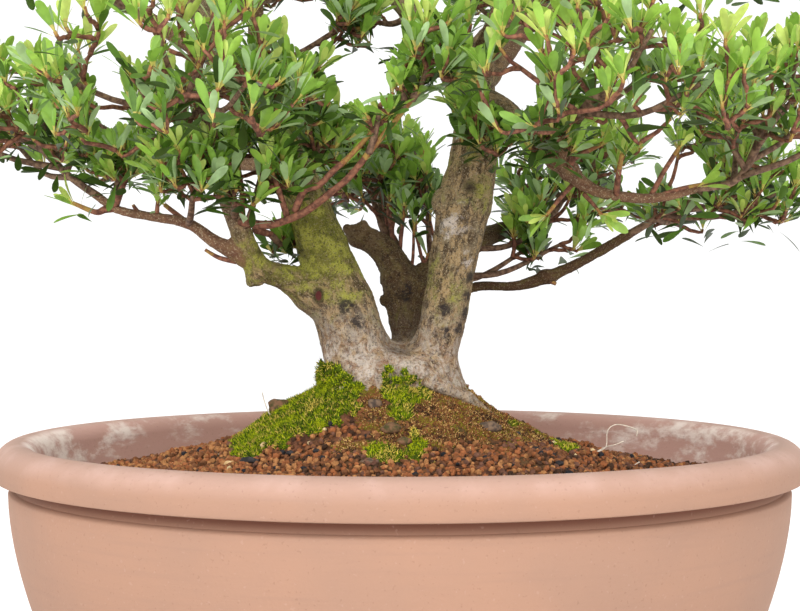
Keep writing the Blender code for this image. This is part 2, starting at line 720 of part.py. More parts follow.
def build_pad(pad, routes, limb_points, rng):
    """A stem from the bough's tip, twigs that fan out from it, and leaves round each twig's end."""
    stem_route, ahead = pad_stem(pad, routes)
    spines = []
    for number in range(TWIGS_A_PAD):
        spine = pad_twig(pad, stem_route, number, rng)
        if is_free(pad, [place for place, _ in spine[1:]], limb_points):
            spines.append(spine)
    pieces = bpy.data.collections.new(pad)
    leaf_places = []
    wood = [[route_place(spine, step / 10) for step in range(2, 11)] for spine in spines]
    for number, spine in enumerate(spines):
        pieces.objects.link(add_tube(f"{pad}_twig", spine, TWIG_SIDES, finish="foliage"))
        others = [place for other, places in enumerate(wood) if other != number for place in places]
        for corners in twig_leaves(spine, rng):
            middles = leaf_middles(corners)
            if not is_apart(middles, leaf_places, LEAF_CLEARANCE):
                continue
            if is_apart(middles, others, TWIG_CLEARANCE) and is_free(pad, corners[1:], limb_points):
                leaf_places += middles
                pieces.objects.link(add_object(f"{pad}_leaf", corners, LEAF_FACES, "foliage", smooth=False))
    join_pad(pad, stem_route, ahead, pieces)
    for piece in list(pieces.objects):
        remove_object(piece)
    bpy.data.collections.remove(pieces)


def join_pad(pad, stem_route, ahead, pieces):
    """Fuse the pad's pieces onto its stem as one closed body, with a leaf fewer each time that fails."""
    while True:
        stem = add_tube(pad, stem_route, TWIG_SIDES, finish="foliage", foot=ahead)
        apply_boolean(stem, "UNION", collection=pieces)
        keep_largest_body(stem)
        if is_closed(stem):
            return
        remove_object(stem)
        remove_object(pieces.objects[-1])


def build_foliage(routes):
    rng = random.Random(SEED)
    limb_points = []
    for route in routes.values():
        limb_points += route
        limb_points += [(a.lerp(b, 0.5), (r + s) / 2) for (a, r), (b, s) in zip(route, route[1:])]
    for pad in PADS:
        build_pad(pad, routes, limb_points, rng)


def main():
    for item in list(bpy.data.objects):
        bpy.data.objects.remove(item)
    build_pot()
    build_trunk()
    build_soil()
    for name, patch in MOSS_PATCHES.items():
        build_moss(name, *patch)
    build_foliage(build_limbs())


main()
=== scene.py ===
import math
import random

import bpy
import numpy as np
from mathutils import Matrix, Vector, noise
from mathutils.kdtree import KDTree


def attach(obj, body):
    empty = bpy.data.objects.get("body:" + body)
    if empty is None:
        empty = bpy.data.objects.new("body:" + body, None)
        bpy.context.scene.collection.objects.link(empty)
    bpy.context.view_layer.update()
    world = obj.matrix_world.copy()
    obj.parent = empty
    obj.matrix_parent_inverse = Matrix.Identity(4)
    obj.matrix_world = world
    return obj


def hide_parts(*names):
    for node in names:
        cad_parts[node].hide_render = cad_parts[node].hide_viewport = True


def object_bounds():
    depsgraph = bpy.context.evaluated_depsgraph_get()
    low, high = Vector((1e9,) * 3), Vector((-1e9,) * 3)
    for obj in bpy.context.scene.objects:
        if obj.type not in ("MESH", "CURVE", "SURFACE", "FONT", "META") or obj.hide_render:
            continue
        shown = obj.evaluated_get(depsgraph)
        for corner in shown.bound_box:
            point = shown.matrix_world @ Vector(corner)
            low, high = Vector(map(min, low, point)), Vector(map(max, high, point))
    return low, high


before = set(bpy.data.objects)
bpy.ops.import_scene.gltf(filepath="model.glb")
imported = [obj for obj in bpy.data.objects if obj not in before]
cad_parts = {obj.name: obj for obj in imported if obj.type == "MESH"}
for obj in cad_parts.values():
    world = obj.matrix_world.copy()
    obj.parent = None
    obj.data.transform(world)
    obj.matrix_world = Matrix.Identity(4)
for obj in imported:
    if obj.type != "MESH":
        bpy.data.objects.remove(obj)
cadBox = [list(corner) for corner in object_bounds()]
print("frame loaded")

goldenAngle = math.pi * (3.0 - math.sqrt(5.0))
upward = Vector((0, 0, 1))


# small helpers that every piece uses

def shade(red, green, blue):
    # a colour picked as 0 to 255, turned linear
    def linear(value):
        value /= 255
        return value / 12.92 if value <= 0.04045 else ((value + 0.055) / 1.055) ** 2.4
    return (linear(red), linear(green), linear(blue), 1.0)


def direction(heading):
    # level direction, 0 degrees to the front and 90 to the right
    angle = math.radians(heading)
    return Vector((math.sin(angle), -math.cos(angle), 0.0))


def smoothstep(value):
    value = np.clip(value, 0.0, 1.0)
    return value * value * (3.0 - 2.0 * value)


def unit(rows):
    return rows / np.maximum(np.linalg.norm(rows, axis=-1, keepdims=True), 1e-9)


def metres(rows):
    # rows of millimetres, as the tables hold places and radii, turned to metres
    if isinstance(rows, tuple):
        return tuple(metres(row) for row in rows)
    return round(rows / 1000, 7)


def makeActive(piece):
    bpy.ops.object.select_all(action="DESELECT")
    piece.select_set(True)
    bpy.context.view_layer.objects.active = piece


def addModifier(piece, kind, **settings):
    # one modifier, set up and applied at once
    makeActive(piece)
    bpy.ops.object.modifier_add(type=kind)
    modifier = piece.modifiers[-1]
    for name, value in settings.items():
        setattr(modifier, name, value)
    bpy.ops.object.modifier_apply(modifier=modifier.name)


def arrayPiece(name, points, corners, sizes, materials, tones=None, smooth=True):
    # a mesh straight from arrays: places, face corners, corners a face, and each face's material
    mesh = bpy.data.meshes.new(name)
    mesh.vertices.add(len(points))
    mesh.vertices.foreach_set("co", np.asarray(points, np.float32).ravel())
    mesh.loops.add(len(corners))
    mesh.loops.foreach_set("vertex_index", np.asarray(corners, np.int32))
    mesh.polygons.add(len(sizes))
    starts = np.concatenate(([0], np.cumsum(sizes)[:-1])).astype(np.int32)
    mesh.polygons.foreach_set("loop_start", starts)
    for material in materials:
        mesh.materials.append(material)
    if tones is not None:
        mesh.polygons.foreach_set("material_index", np.asarray(tones, np.int32))
    mesh.update(calc_edges=True)
    if smooth:
        mesh.shade_smooth()
    else:
        mesh.shade_flat()
    piece = bpy.data.objects.new(name, mesh)
    bpy.context.scene.collection.objects.link(piece)
    return piece


def copiesOf(shapePoints, shapeFaces, places, frames, sizes):
    # the same small shape at many places: frames are rows of three axes, sizes stretch along them
    shaped = np.asarray(shapePoints)
    if shaped.ndim == 2:
        shaped = np.broadcast_to(shaped, (len(places), *shaped.shape))
    spots = np.einsum("npk,nk,nkd->npd", shaped, sizes, frames) + places[:, None, :]
    counts = np.array([len(face) for face in shapeFaces])
    flat = np.concatenate([np.array(face) for face in shapeFaces])
    corners = (flat[None, :] + (np.arange(len(places)) * shaped.shape[1])[:, None]).ravel()
    return spots.reshape(-1, 3), corners, np.tile(counts, len(places))


def skinRings(rings):
    # faces between rings of equal count, with a flat face at each end
    count, sides = len(rings), len(rings[0])
    points = np.array([tuple(corner) for ring in rings for corner in ring])
    low = (np.arange(count - 1) * sides)[:, None] + np.arange(sides)[None, :]
    beside = (np.arange(count - 1) * sides)[:, None] + (np.arange(sides)[None, :] + 1) % sides
    quads = np.stack([low, beside, beside + sides, low + sides], axis=-1).reshape(-1)
    corners = np.concatenate([quads, np.arange(sides)[::-1], np.arange((count - 1) * sides, count * sides)])
    sizes = np.concatenate([np.full((count - 1) * sides, 4), [sides, sides]])
    return points, corners, sizes


def joinSkins(skins):
    points, corners, sizes, first = [], [], [], 0
    for skin in skins:
        points.append(skin[0])
        corners.append(skin[1] + first)
        sizes.append(skin[2])
        first += len(skin[0])
    return np.concatenate(points), np.concatenate(corners), np.concatenate(sizes)


def smoothRoute(points, steps):
    # places and radii along a smooth curve through the points
    rows = [Vector(point) for point in points]
    rows = [rows[0] * 2 - rows[1]] + rows + [rows[-1] * 2 - rows[-2]]
    route = []
    for span in range(1, len(rows) - 2):
        before, here, there, after = rows[span - 1:span + 3]
        for step in range(steps):
            t = step / steps
            route.append(0.5 * (2 * here + (there - before) * t
                                + (2 * before - 5 * here + 4 * there - after) * t ** 2
                                + (3 * here - before - 3 * there + after) * t ** 3))
    route.append(rows[-2])
    return [(Vector(row[:3]), row[3]) for row in route]


def routePlace(route, share):
    step = share * (len(route) - 1)
    before = min(int(step), len(route) - 2)
    return route[before][0].lerp(route[before + 1][0], step - before)


def routeFrames(route):
    # place, radius, ahead, across and beside along a route, twisting as little as it can
    frames = []
    across = None
    for number, (place, radius) in enumerate(route):
        ahead = (route[min(number + 1, len(route) - 1)][0] - route[max(number - 1, 0)][0]).normalized()
        if across is None:
            across = ahead.orthogonal().normalized()
        across = (across - ahead * across.dot(ahead)).normalized()
        frames.append((place, radius, ahead, across.copy(), ahead.cross(across)))
    return frames


def tubeSkin(route, sides):
    turns = [2 * math.pi * side / sides for side in range(sides)]
    return skinRings([[place + (across * math.cos(turn) + beside * math.sin(turn)) * radius for turn in turns]
                      for place, radius, _, across, beside in routeFrames(route)])


# shader maths: a wrapped socket that adds Math nodes when it is summed or scaled

class Wire:
    def __init__(self, tree, socket=None):
        self.tree = tree
        self.socket = socket

    def node(self, kind, settings=None, values=None, take=0):
        made = self.tree.nodes.new("ShaderNode" + kind)
        for name, value in (settings or {}).items():
            setattr(made, name, value)
        for name, value in (values or {}).items():
            if isinstance(value, Wire):
                self.tree.links.new(value.socket, made.inputs[name])
            else:
                made.inputs[name].default_value = value
        return Wire(self.tree, made.outputs[take]) if len(made.outputs) else None

    def maths(self, operation, *values):
        return self.node("Math", {"operation": operation}, dict(enumerate(values)))

    def __add__(self, other):
        return self.maths("ADD", self, other)

    def __sub__(self, other):
        return self.maths("SUBTRACT", self, other)

    def __rsub__(self, other):
        return self.maths("SUBTRACT", other, self)

    def __mul__(self, other):
        return self.maths("MULTIPLY", self, other)

    __radd__ = __add__
    __rmul__ = __mul__

    def step(self, low, high):
        # 0 below low, 1 above high, smooth between
        return self.node("MapRange", {"interpolation_type": "SMOOTHSTEP"},
                         {"Value": self, "From Min": low, "From Max": high})

    def near(self, middle, width):
        # 1 at the middle, falling to 0 a width away
        return 1 - self.maths("ABSOLUTE", self - middle).step(0.0, width)

    def mix(self, factor, first, second):
        return self.node("Mix", {"data_type": "RGBA"}, {0: factor, 6: first, 7: second}, take=2)

    def noise(self, place, scale, detail=3.0, roughness=0.55, distortion=0.0):
        return self.node("TexNoise", None, {"Vector": place, "Scale": scale, "Detail": detail,
                                            "Roughness": roughness, "Distortion": distortion})

    def stretch(self, place, scale):
        return self.node("Mapping", None, {"Vector": place, "Scale": scale})

    def parts(self, place):
        split = self.node("SeparateXYZ", None, {0: place})
        outputs = split.socket.node.outputs
        return [Wire(self.tree, outputs[axis]) for axis in range(3)]

    def spot(self, place, middle, radius):
        # 1 at a place on the piece, falling to 0 a radius away
        away = self.node("VectorMath", {"operation": "DISTANCE"}, {0: place, 1: middle}, take="Value")
        return 1 - away.step(0.0, radius)


def newMaterial(name):
    material = bpy.data.materials.new(name)
    material.use_nodes = True
    material.node_tree.nodes.clear()
    return material, Wire(material.node_tree)


def finishSurface(wire, bump=None, through=None, **values):
    # the surface shader and the output; bump is (height, distance, strength), through is (share, colour)
    names = {"colour": "Base Color", "roughness": "Roughness", "sheen": "Sheen Weight",
             "specular": "Specular IOR Level"}
    sockets = {names[name]: value for name, value in values.items()}
    if bump:
        height, distance, strength = bump
        sockets["Normal"] = wire.node("Bump", None, {"Height": height, "Distance": distance,
                                                     "Strength": strength})
    shader = wire.node("BsdfPrincipled", None, sockets)
    if through:
        share, colour = through
        glow = wire.node("BsdfTranslucent", None, {"Color": colour})
        shader = wire.node("MixShader", None, {0: share, 1: shader, 2: glow})
    wire.node("OutputMaterial", None, {"Surface": shader})


# camera, light and floor

stageLook = {
    "cameraPlace": (0.0, -0.752, 0.1996),
    "lens": 67.59,
    "sensor": 36.0,
    "floorRadius": 9.0,
    "floorColour": (0.94, 0.94, 0.94, 1.0),
    "skyColour": (1.0, 1.0, 1.0, 1.0),
    "skyStrength": 1.1,
}
lampLooks = {
    "keyLamp": {"place": (-0.7, -1.6, 1.1), "aim": (0, 0, 0.22), "size": 1.2, "power": 28.0},
    "fillLamp": {"place": (1.0, -1.4, 0.5), "aim": (0, 0, 0.22), "size": 1.6, "power": 14.0},
    "backLamp": {"place": (0.3, 1.6, 1.7), "aim": (0, 0, 0.3), "size": 1.6, "power": 12.0},
}


def makeStage():
    look = stageLook
    camera = bpy.data.objects.new("camera", bpy.data.cameras.new("camera"))
    bpy.context.scene.collection.objects.link(camera)
    camera.location = look["cameraPlace"]
    camera.rotation_euler = (math.pi / 2, 0, 0)
    camera.data.lens = look["lens"]
    camera.data.sensor_width = look["sensor"]
    camera.data.clip_start = 0.01
    bpy.context.scene.camera = camera
    for name, lamp in lampLooks.items():
        light = bpy.data.objects.new(name, bpy.data.lights.new(name, "AREA"))
        bpy.context.scene.collection.objects.link(light)
        light.location = lamp["place"]
        aim = Vector(lamp["aim"]) - Vector(lamp["place"])
        light.rotation_euler = aim.to_track_quat("-Z", "Y").to_euler()
        light.data.size = lamp["size"]
        light.data.energy = lamp["power"]
    world = bpy.data.worlds.new("studio")
    world.use_nodes = True
    background = world.node_tree.nodes["Background"]
    background.inputs["Color"].default_value = look["skyColour"]
    background.inputs["Strength"].default_value = look["skyStrength"]
    bpy.context.scene.world = world
    bpy.context.scene.view_settings.view_transform = "Standard"
    bpy.ops.mesh.primitive_circle_add(vertices=96, radius=look["floorRadius"], fill_type="NGON")
    floor = bpy.context.object
    floor.name = "floor"
    material, wire = newMaterial("floorPaper")
    finishSurface(wire, colour=look["floorColour"], roughness=0.9)
    floor.data.materials.append(material)
    print("stage ready")


# pot: turned clay, extruded ring by ring from the foot round the rolled lip to the floor inside

potShape = {
    "height": 0.135,
    "rimRadius": 0.197,
    "rimDepth": 0.0165,
    "mouthRadius": 0.176,
    "bodyRadius": 0.190,
    "grooveRadius": 0.1865,
    "grooveHeight": 0.006,
    "footRadius": 0.154,
    "footEdge": 0.003,
    "swell": 1.7,
    "lipInner": 0.010,
    "lipOuterRise": 0.0115,
    "arris": 0.0012,
    "floorHeight": 0.012,
    "floorRadius": 0.140,
    "floorCorner": (0.006, 0.010),
    "drainCount": 3,
    "drainRadius": 0.011,
    "drainRing": 0.075,
    "firstDrain": 60,
    "drillSides": 48,
    "smoothAngle": 40,
    "sides": 180,
    "bodyRings": 18,
    "lipSteps": 10,
    "wallRings": 8,
}
clayLook = {
    "body": shade(153, 119, 100),
    "warm": shade(159, 122, 101),
    "grey": shade(144, 113, 97),
    # pale lip colour: wear and a painted highlight on the rim's top; also the pale grit
    "worn": shade(184, 151, 138),
    # painted shade: the dark colour of the groove under the rim
    "groove": shade(106, 65, 49),
    # painted light: the inner wall is paler than the body to stand in for the light on it
    "inside": shade(188, 147, 134),
    "lime": shade(236, 222, 212),
    "speck": shade(112, 78, 62),
    "roughness": 0.82,
    "lipBand": (0.006, 0.001),
    "grooveShadeBand": (0.1112, 0.1168),
    "limeBand": (0.109, 0.117),
    "bumpHeight": 0.0006,
}


def innerWall():
    # radius and height of the wall inside the pot, at its foot and at its top
    width, rise = potShape["floorCorner"]
    foot = (potShape["floorRadius"] + width, potShape["floorHeight"] + rise)
    return foot, (potShape["mouthRadius"], potShape["height"] - potShape["lipInner"])


def wallRadius(height):
    (lowRadius, low), (topRadius, top) = innerWall()
    return lowRadius + (topRadius - lowRadius) * (height - low) / (top - low)


def potOutline():
    # radius and height of each ring
    shape = potShape
    foot, body, groove, rim = (shape[part + "Radius"] for part in ("foot", "body", "groove", "rim"))
    arris = shape["arris"]
    rimLow = shape["height"] - shape["rimDepth"]
    grooveLow = rimLow - shape["grooveHeight"]
    outline = [(foot - shape["footEdge"], 0.0), (foot, shape["footEdge"])]
    for ring in range(1, shape["bodyRings"] + 1):
        share = ring / shape["bodyRings"]
        radius = foot + (body - foot) * (1.0 - (1.0 - share) ** shape["swell"])
        outline.append((radius, (grooveLow - arris) * share + 0.001 * (1 - share)))
    # how far each edge of the groove and the rim is rounded off, as shares of the arris
    edges = ((body, -0.5, grooveLow, -0.2), (groove, 0.4, grooveLow, 0.5), (groove, 0, grooveLow, 1.6),
             (groove, 0, rimLow, -1.2), (groove, 0.5, rimLow, -0.4), (rim, -1.6, rimLow, 0),
             (rim, -0.5, rimLow, 0.4), (rim, 0, rimLow, 1.5))
    outline += [(radius + arris * out, height + arris * rise) for radius, out, height, rise in edges]
    inner = shape["lipInner"]
    crest = shape["mouthRadius"] + inner
    for width, rise, first in ((rim - crest, shape["lipOuterRise"], 0), (inner, inner, 90)):
        for step in range(1, shape["lipSteps"] + 1):
            turn = math.radians(first + 90 / shape["lipSteps"] * step)
            outline.append((crest + width * math.cos(turn), shape["height"] - rise + rise * math.sin(turn)))
    (lowRadius, low), (topRadius, top) = innerWall()
    for step in range(1, shape["wallRings"] + 1):
        share = step / shape["wallRings"]
        outline.append((topRadius + (lowRadius - topRadius) * share, top + (low - top) * share))
    outline.append((shape["floorRadius"], shape["floorHeight"]))
    return outline


def clayMaterial():
    look = clayLook
    material, wire = newMaterial("clay")
    place = wire.node("TexCoord", take="Object")
    x, y, z = wire.parts(place)
    radius = wire.maths("SQRT", x * x + y * y)
    rimLow = potShape["height"] - potShape["rimDepth"]
    cloud = wire.noise(place, 14.0, 4.0)
    turned = wire.noise(wire.stretch(place, (12.0, 12.0, 260.0)), 1.0, 3.0)
    colour = wire.mix(cloud.step(0.35, 0.68), look["body"], look["warm"])
    colour = wire.mix(turned.step(0.5, 0.8) * 0.35, colour, look["grey"])
    # paler on the lip: partly wear, partly a painted highlight where light falls on the top of the rim
    low, below = look["lipBand"]
    lip = z.step(rimLow + low, potShape["height"] - below)
    worn = lip * (0.55 + wire.noise(place, 40.0, 4.0).step(0.4, 0.7) * 0.45)
    colour = wire.mix(worn, colour, look["worn"])
    # painted shade: the groove under the rim is darkened where the rim shades it
    groove = 1 - (radius - potShape["grooveRadius"]).step(0.0004, 0.0022)
    groove = groove * z.step(*look["grooveShadeBand"]) * (1 - z.step(rimLow - 0.0005, rimLow + 0.002))
    colour = wire.mix(groove, colour, look["groove"])
    # the wall inside is damp and brown with lime where water dries, and painted paler than the outside to
    # stand in for the light that falls on it
    (lowRadius, low), (topRadius, top) = innerWall()
    slope = (topRadius - lowRadius) / (top - low)
    inside = 1 - (radius - (z - low) * slope - lowRadius).step(0.0015, 0.006)
    inside = inside * z.step(0.010, 0.014)
    colour = wire.mix(inside, colour, look["inside"])
    lime = wire.noise(wire.stretch(place, (1.0, 1.0, 2.2)), 26.0, 5.0, 0.65)
    lime = (lime + wire.maths("ABSOLUTE", x) * 0.9).step(0.60, 0.78)
    crust = inside * lime * z.step(*look["limeBand"])
    colour = wire.mix(crust * 0.85, colour, look["lime"])
    # fine dark and pale grit in the clay
    grit = wire.noise(place, 620.0, 1.0)
    colour = wire.mix(grit.step(0.66, 0.76) * 0.22, colour, look["speck"])
    colour = wire.mix(wire.noise(place, 480.0, 1.0).step(0.68, 0.78) * 0.16, colour, look["worn"])
    height = grit * 0.4 + wire.noise(place, 150.0, 4.0) * 0.6 + turned * 0.5 + crust * 0.8
    roughness = look["roughness"] - worn * 0.08 + crust * 0.1
    bump = (height, look["bumpHeight"], 0.45)
    finishSurface(wire, bump=bump, colour=colour, roughness=roughness, specular=0.35)
    return material


def makePot():
    shape = potShape
    outline = potOutline()
    bpy.ops.object.select_all(action="DESELECT")
    bpy.ops.mesh.primitive_circle_add(vertices=shape["sides"], radius=outline[0][0], fill_type="NGON")
    pot = bpy.context.object
    pot.name = pot.data.name = "clayPot"
    bpy.ops.object.mode_set(mode="EDIT")
    bpy.ops.mesh.select_all(action="SELECT")
    for (radius, height), (nextRadius, nextHeight) in zip(outline, outline[1:]):
        lift = (0, 0, nextHeight - height)
        bpy.ops.mesh.extrude_region_move(TRANSFORM_OT_translate={"value": lift})
        grow = nextRadius / radius
        bpy.ops.transform.resize(value=(grow, grow, 1), center_override=(0, 0, nextHeight))
    bpy.ops.mesh.select_all(action="SELECT")
    bpy.ops.mesh.normals_make_consistent(inside=False)
    bpy.ops.object.mode_set(mode="OBJECT")
    for number in range(shape["drainCount"]):
        middle = direction(shape["firstDrain"] + 360 * number / shape["drainCount"]) * shape["drainRing"]
        bpy.ops.mesh.primitive_cylinder_add(vertices=shape["drillSides"], radius=shape["drainRadius"],
                                            depth=4 * shape["floorHeight"], location=middle)
        drill = bpy.context.object
        addModifier(pot, "BOOLEAN", operation="DIFFERENCE", object=drill)
        bpy.data.objects.remove(drill)
    makeActive(pot)
    bpy.ops.object.shade_smooth_by_angle(angle=math.radians(shape["smoothAngle"]))
    pot.data.materials.append(clayMaterial())
    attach(pot, "root")
    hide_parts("pot")
    print("pot turned")


# soil: a heap round the foot of the trunk, under loose grains of fired clay

soilShape = {
    "level": 0.113,
    "wallGap": 0.0008,
    "floorGap": 0.0003,
    "edgeDepth": 0.004,
    "innerRadius": 0.030,
    "heapCentre": (-0.004, 0.005),
    "heapTop": 0.024,
    "heapInner": 0.036,
    "heapFoot": 0.080,
    "hollow": 1.25,
    "hollowRight": 0.25,
    "apronTop": 0.021,
    "apronInner": 0.050,
    "apronRadius": 0.168,
    "lumpHeight": 0.0020,
    "lumpSpacing": 0.030,
    "lumpPhases": (0.6, 1.1),
    "lumpStart": 0.044,
    "lumpFade": 0.016,
    "sides": 160,
    "rings": 70,
    "roughness": 0.0011,
    "roughScales": (90, 240),
    "ringSpread": 0.85,
    "centreGain": 3.0,
    "roughGain": 12,
}
soilLook = {
    "dark": shade(70, 44, 32),
    "light": shade(128, 82, 58),
    "damp": shade(88, 82, 40),
    "crumbScale": 260.0,
    "dampScale": 34.0,
    "dampBand": (0.118, 0.135),
    "bumpScale": 420.0,
    "bumpHeight": 0.002,
}
grainShape = {
    "frontSpacing": 0.0026,
    "backSpacing": 0.0033,
    "backStart": 0.03,
    "stray": 0.42,
    "trunkGap": 0.031,
    "wallGap": 0.0030,
    "mossMargin": (0.06, 0.16),
    "small": 0.0009,
    "large": 0.0021,
    "lift": (0.05, 0.75),
    "jolt": (0.74, 1.18),
    "stretch": (0.75, 1.15),
    "drySide": -0.045,
    "dryShare": 0.75,
    "sizeSpread": (1.8, 2.6),
    "mossReach": 0.01,
    "seed": 41,
}
grainTones = {
    "grainRust": (shade(154, 94, 57), 30),
    "grainBrown": (shade(124, 80, 51), 28),
    "grainTan": (shade(176, 122, 76), 15),
    "grainMauve": (shade(114, 78, 62), 14),
    "grainDark": (shade(72, 50, 36), 11),
    "grainBlack": (shade(42, 42, 46), 1.5),
    "grainCream": (shade(222, 198, 150), 0.5),
}


def heapHeight(x, y):
    # height of the soil at places seen from above
    shape = soilShape
    offX, offY = x - shape["heapCentre"][0], y - shape["heapCentre"][1]
    radius = np.hypot(offX, offY)
    hollow = shape["hollow"] + shape["hollowRight"] * offX / np.maximum(radius, 1e-6)
    share = (radius - shape["heapInner"]) / (shape["heapFoot"] - shape["heapInner"])
    heap = np.clip(1.0 - share, 0.0, 1.0) ** hollow
    apron = smoothstep(1.0 - (radius - shape["apronInner"]) / (shape["apronRadius"] - shape["apronInner"]))
    waves = [np.sin(math.pi * off / shape["lumpSpacing"] + phase)
             for off, phase in zip((offX, offY), shape["lumpPhases"])]
    lump = waves[0] * waves[1] * smoothstep((radius - shape["lumpStart"]) / shape["lumpFade"])
    return shape["level"] + shape["heapTop"] * heap + shape["apronTop"] * apron + shape["lumpHeight"] * lump


def heapSlope(x, y):
    # unit normals of the heap at places seen from above
    reach = 0.0015
    across = (heapHeight(x + reach, y) - heapHeight(x - reach, y)) / (2 * reach)
    away = (heapHeight(x, y + reach) - heapHeight(x, y - reach)) / (2 * reach)
    return unit(np.stack([-across, -away, np.ones_like(x)], axis=-1))


def soilMaterial():
    look = soilLook
    material, wire = newMaterial("soilBed")
    place = wire.node("TexCoord", take="Object")
    z = wire.parts(place)[2]
    crumbs = wire.noise(place, look["crumbScale"], 4.0).step(0.35, 0.7)
    colour = wire.mix(crumbs, look["dark"], look["light"])
    damp = wire.noise(place, look["dampScale"], 4.0).step(0.42, 0.62)
    colour = wire.mix(damp * 0.5 * z.step(*look["dampBand"]), colour, look["damp"])
    height = wire.noise(place, look["bumpScale"], 5.0, 0.7)
    finishSurface(wire, bump=(height, look["bumpHeight"], 0.8), colour=colour, roughness=0.95, specular=0.2)
    return material


def makeSoil():
    shape = soilShape
    turns = 2 * math.pi * np.arange(shape["sides"]) / shape["sides"]
    wide, deep = np.sin(turns), -np.cos(turns)
    floor = potShape["floorHeight"] + shape["floorGap"]
    corner = innerWall()[0][1] + shape["floorGap"]
    edge = shape["level"] - shape["edgeDepth"]
    rings = []
    walls = ((potShape["floorRadius"], floor), (wallRadius(corner), corner), (wallRadius(edge), edge))
    for radius, height in walls:
        radius -= shape["wallGap"]
        rings.append(np.stack([wide * radius, deep * radius, np.full_like(wide, height)], axis=-1))
    outer = wallRadius(shape["level"]) - shape["wallGap"]
    coarse, fine = shape["roughScales"]
    for ring in range(shape["rings"] + 1):
        share = ring / shape["rings"]
        radius = outer + (shape["innerRadius"] - outer) * share ** shape["ringSpread"]
        centre = np.array(shape["heapCentre"]) * smoothstep(share * shape["centreGain"])
        x, y = centre[0] + wide * radius, centre[1] + deep * radius
        rough = np.array([
            noise.noise(Vector((px, py, 0)) * coarse) + 0.6 * noise.noise(Vector((px, py, 3)) * fine)
            for px, py in zip(x, y)])
        z = heapHeight(x, y) + rough * shape["roughness"] * smoothstep(share * shape["roughGain"])
        rings.append(np.stack([x, y, z], axis=-1))
    soil = arrayPiece("soilBed", *skinRings(rings), [soilMaterial()])
    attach(soil, "root")
    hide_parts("soil")
    print("soil heaped")


def plainMaterial(name, colour, roughness, specular=0.3, variation=0.25, scale=300.0, darker=None):
    # one tone with fine mottling
    material, wire = newMaterial(name)
    place = wire.node("TexCoord", take="Object")
    dim = darker or tuple(value * (1 - variation) for value in colour[:3]) + (1.0,)
    cloud = wire.noise(place, scale, 3.0)
    finishSurface(wire, bump=(cloud, 0.0004, 0.5), colour=wire.mix(cloud.step(0.35, 0.65), dim, colour),
                  roughness=roughness, specular=specular)
    return material


def icoShape():
    # corners and faces of a twenty-sided pebble
    ratio = (1 + math.sqrt(5)) / 2
    corners = [(x, y, 0) for y in (ratio, -ratio) for x in (-1, 1)]
    corners += [(0, y, z) for z in (ratio, -ratio) for y in (-1, 1)]
    corners += [(x, 0, z) for x in (ratio, -ratio) for z in (-1, 1)]
    faces = [(0, 11, 5), (0, 5, 1), (0, 1, 7), (0, 7, 10), (0, 10, 11), (1, 5, 9), (5, 11, 4), (11, 10, 2),
             (10, 7, 6), (7, 1, 8), (3, 9, 4), (3, 4, 2), (3, 2, 6), (3, 6, 8), (3, 8, 9), (4, 9, 5),
             (2, 4, 11), (6, 2, 10), (8, 6, 7), (9, 8, 1)]
    return unit(np.array(corners, float)), faces


def randomFrames(chance, count):
    first = unit(chance.normal(size=(count, 3)))
    second = unit(np.cross(first, unit(chance.normal(size=(count, 3)))))
    return np.stack([first, second, np.cross(first, second)], axis=1)


def sightPlaces(places):
    # where lines from the eye through places meet the trunk's plane, as rows of x and z
    eye = stageLook["cameraPlace"]
    share = eye[1] / (eye[1] - places[:, 1])
    return np.stack([places[:, 0] * share, eye[2] + (places[:, 2] - eye[2]) * share], axis=-1)


def inEllipses(spots, ellipses):
    # how deep rows of x and z lie in the deepest of the ellipses: 0 on its edge, 1 at its middle
    depths = [1.0 - np.hypot((spots[:, 0] - x) / wide, (spots[:, 1] - z) / tall)
              for x, z, wide, tall in ellipses]
    return np.max(depths, axis=0)


def strewn(chance, spacing, stray, inner, outer):
    # places seen from above on a jolted honeycomb between two radii
    reach = int(outer / spacing) + 2
    column, row = np.meshgrid(np.arange(-reach, reach + 1), np.arange(-reach, reach + 1))
    x = (column + 0.5 * (row % 2)).ravel() * spacing
    y = row.ravel() * spacing * 0.87
    x = x + chance.normal(0, stray * spacing, x.shape)
    y = y + chance.normal(0, stray * spacing, y.shape)
    away = np.hypot(x, y)
    keep = (away < outer) & (np.hypot(x - soilShape["heapCentre"][0], y - soilShape["heapCentre"][1]) > inner)
    return x[keep], y[keep]


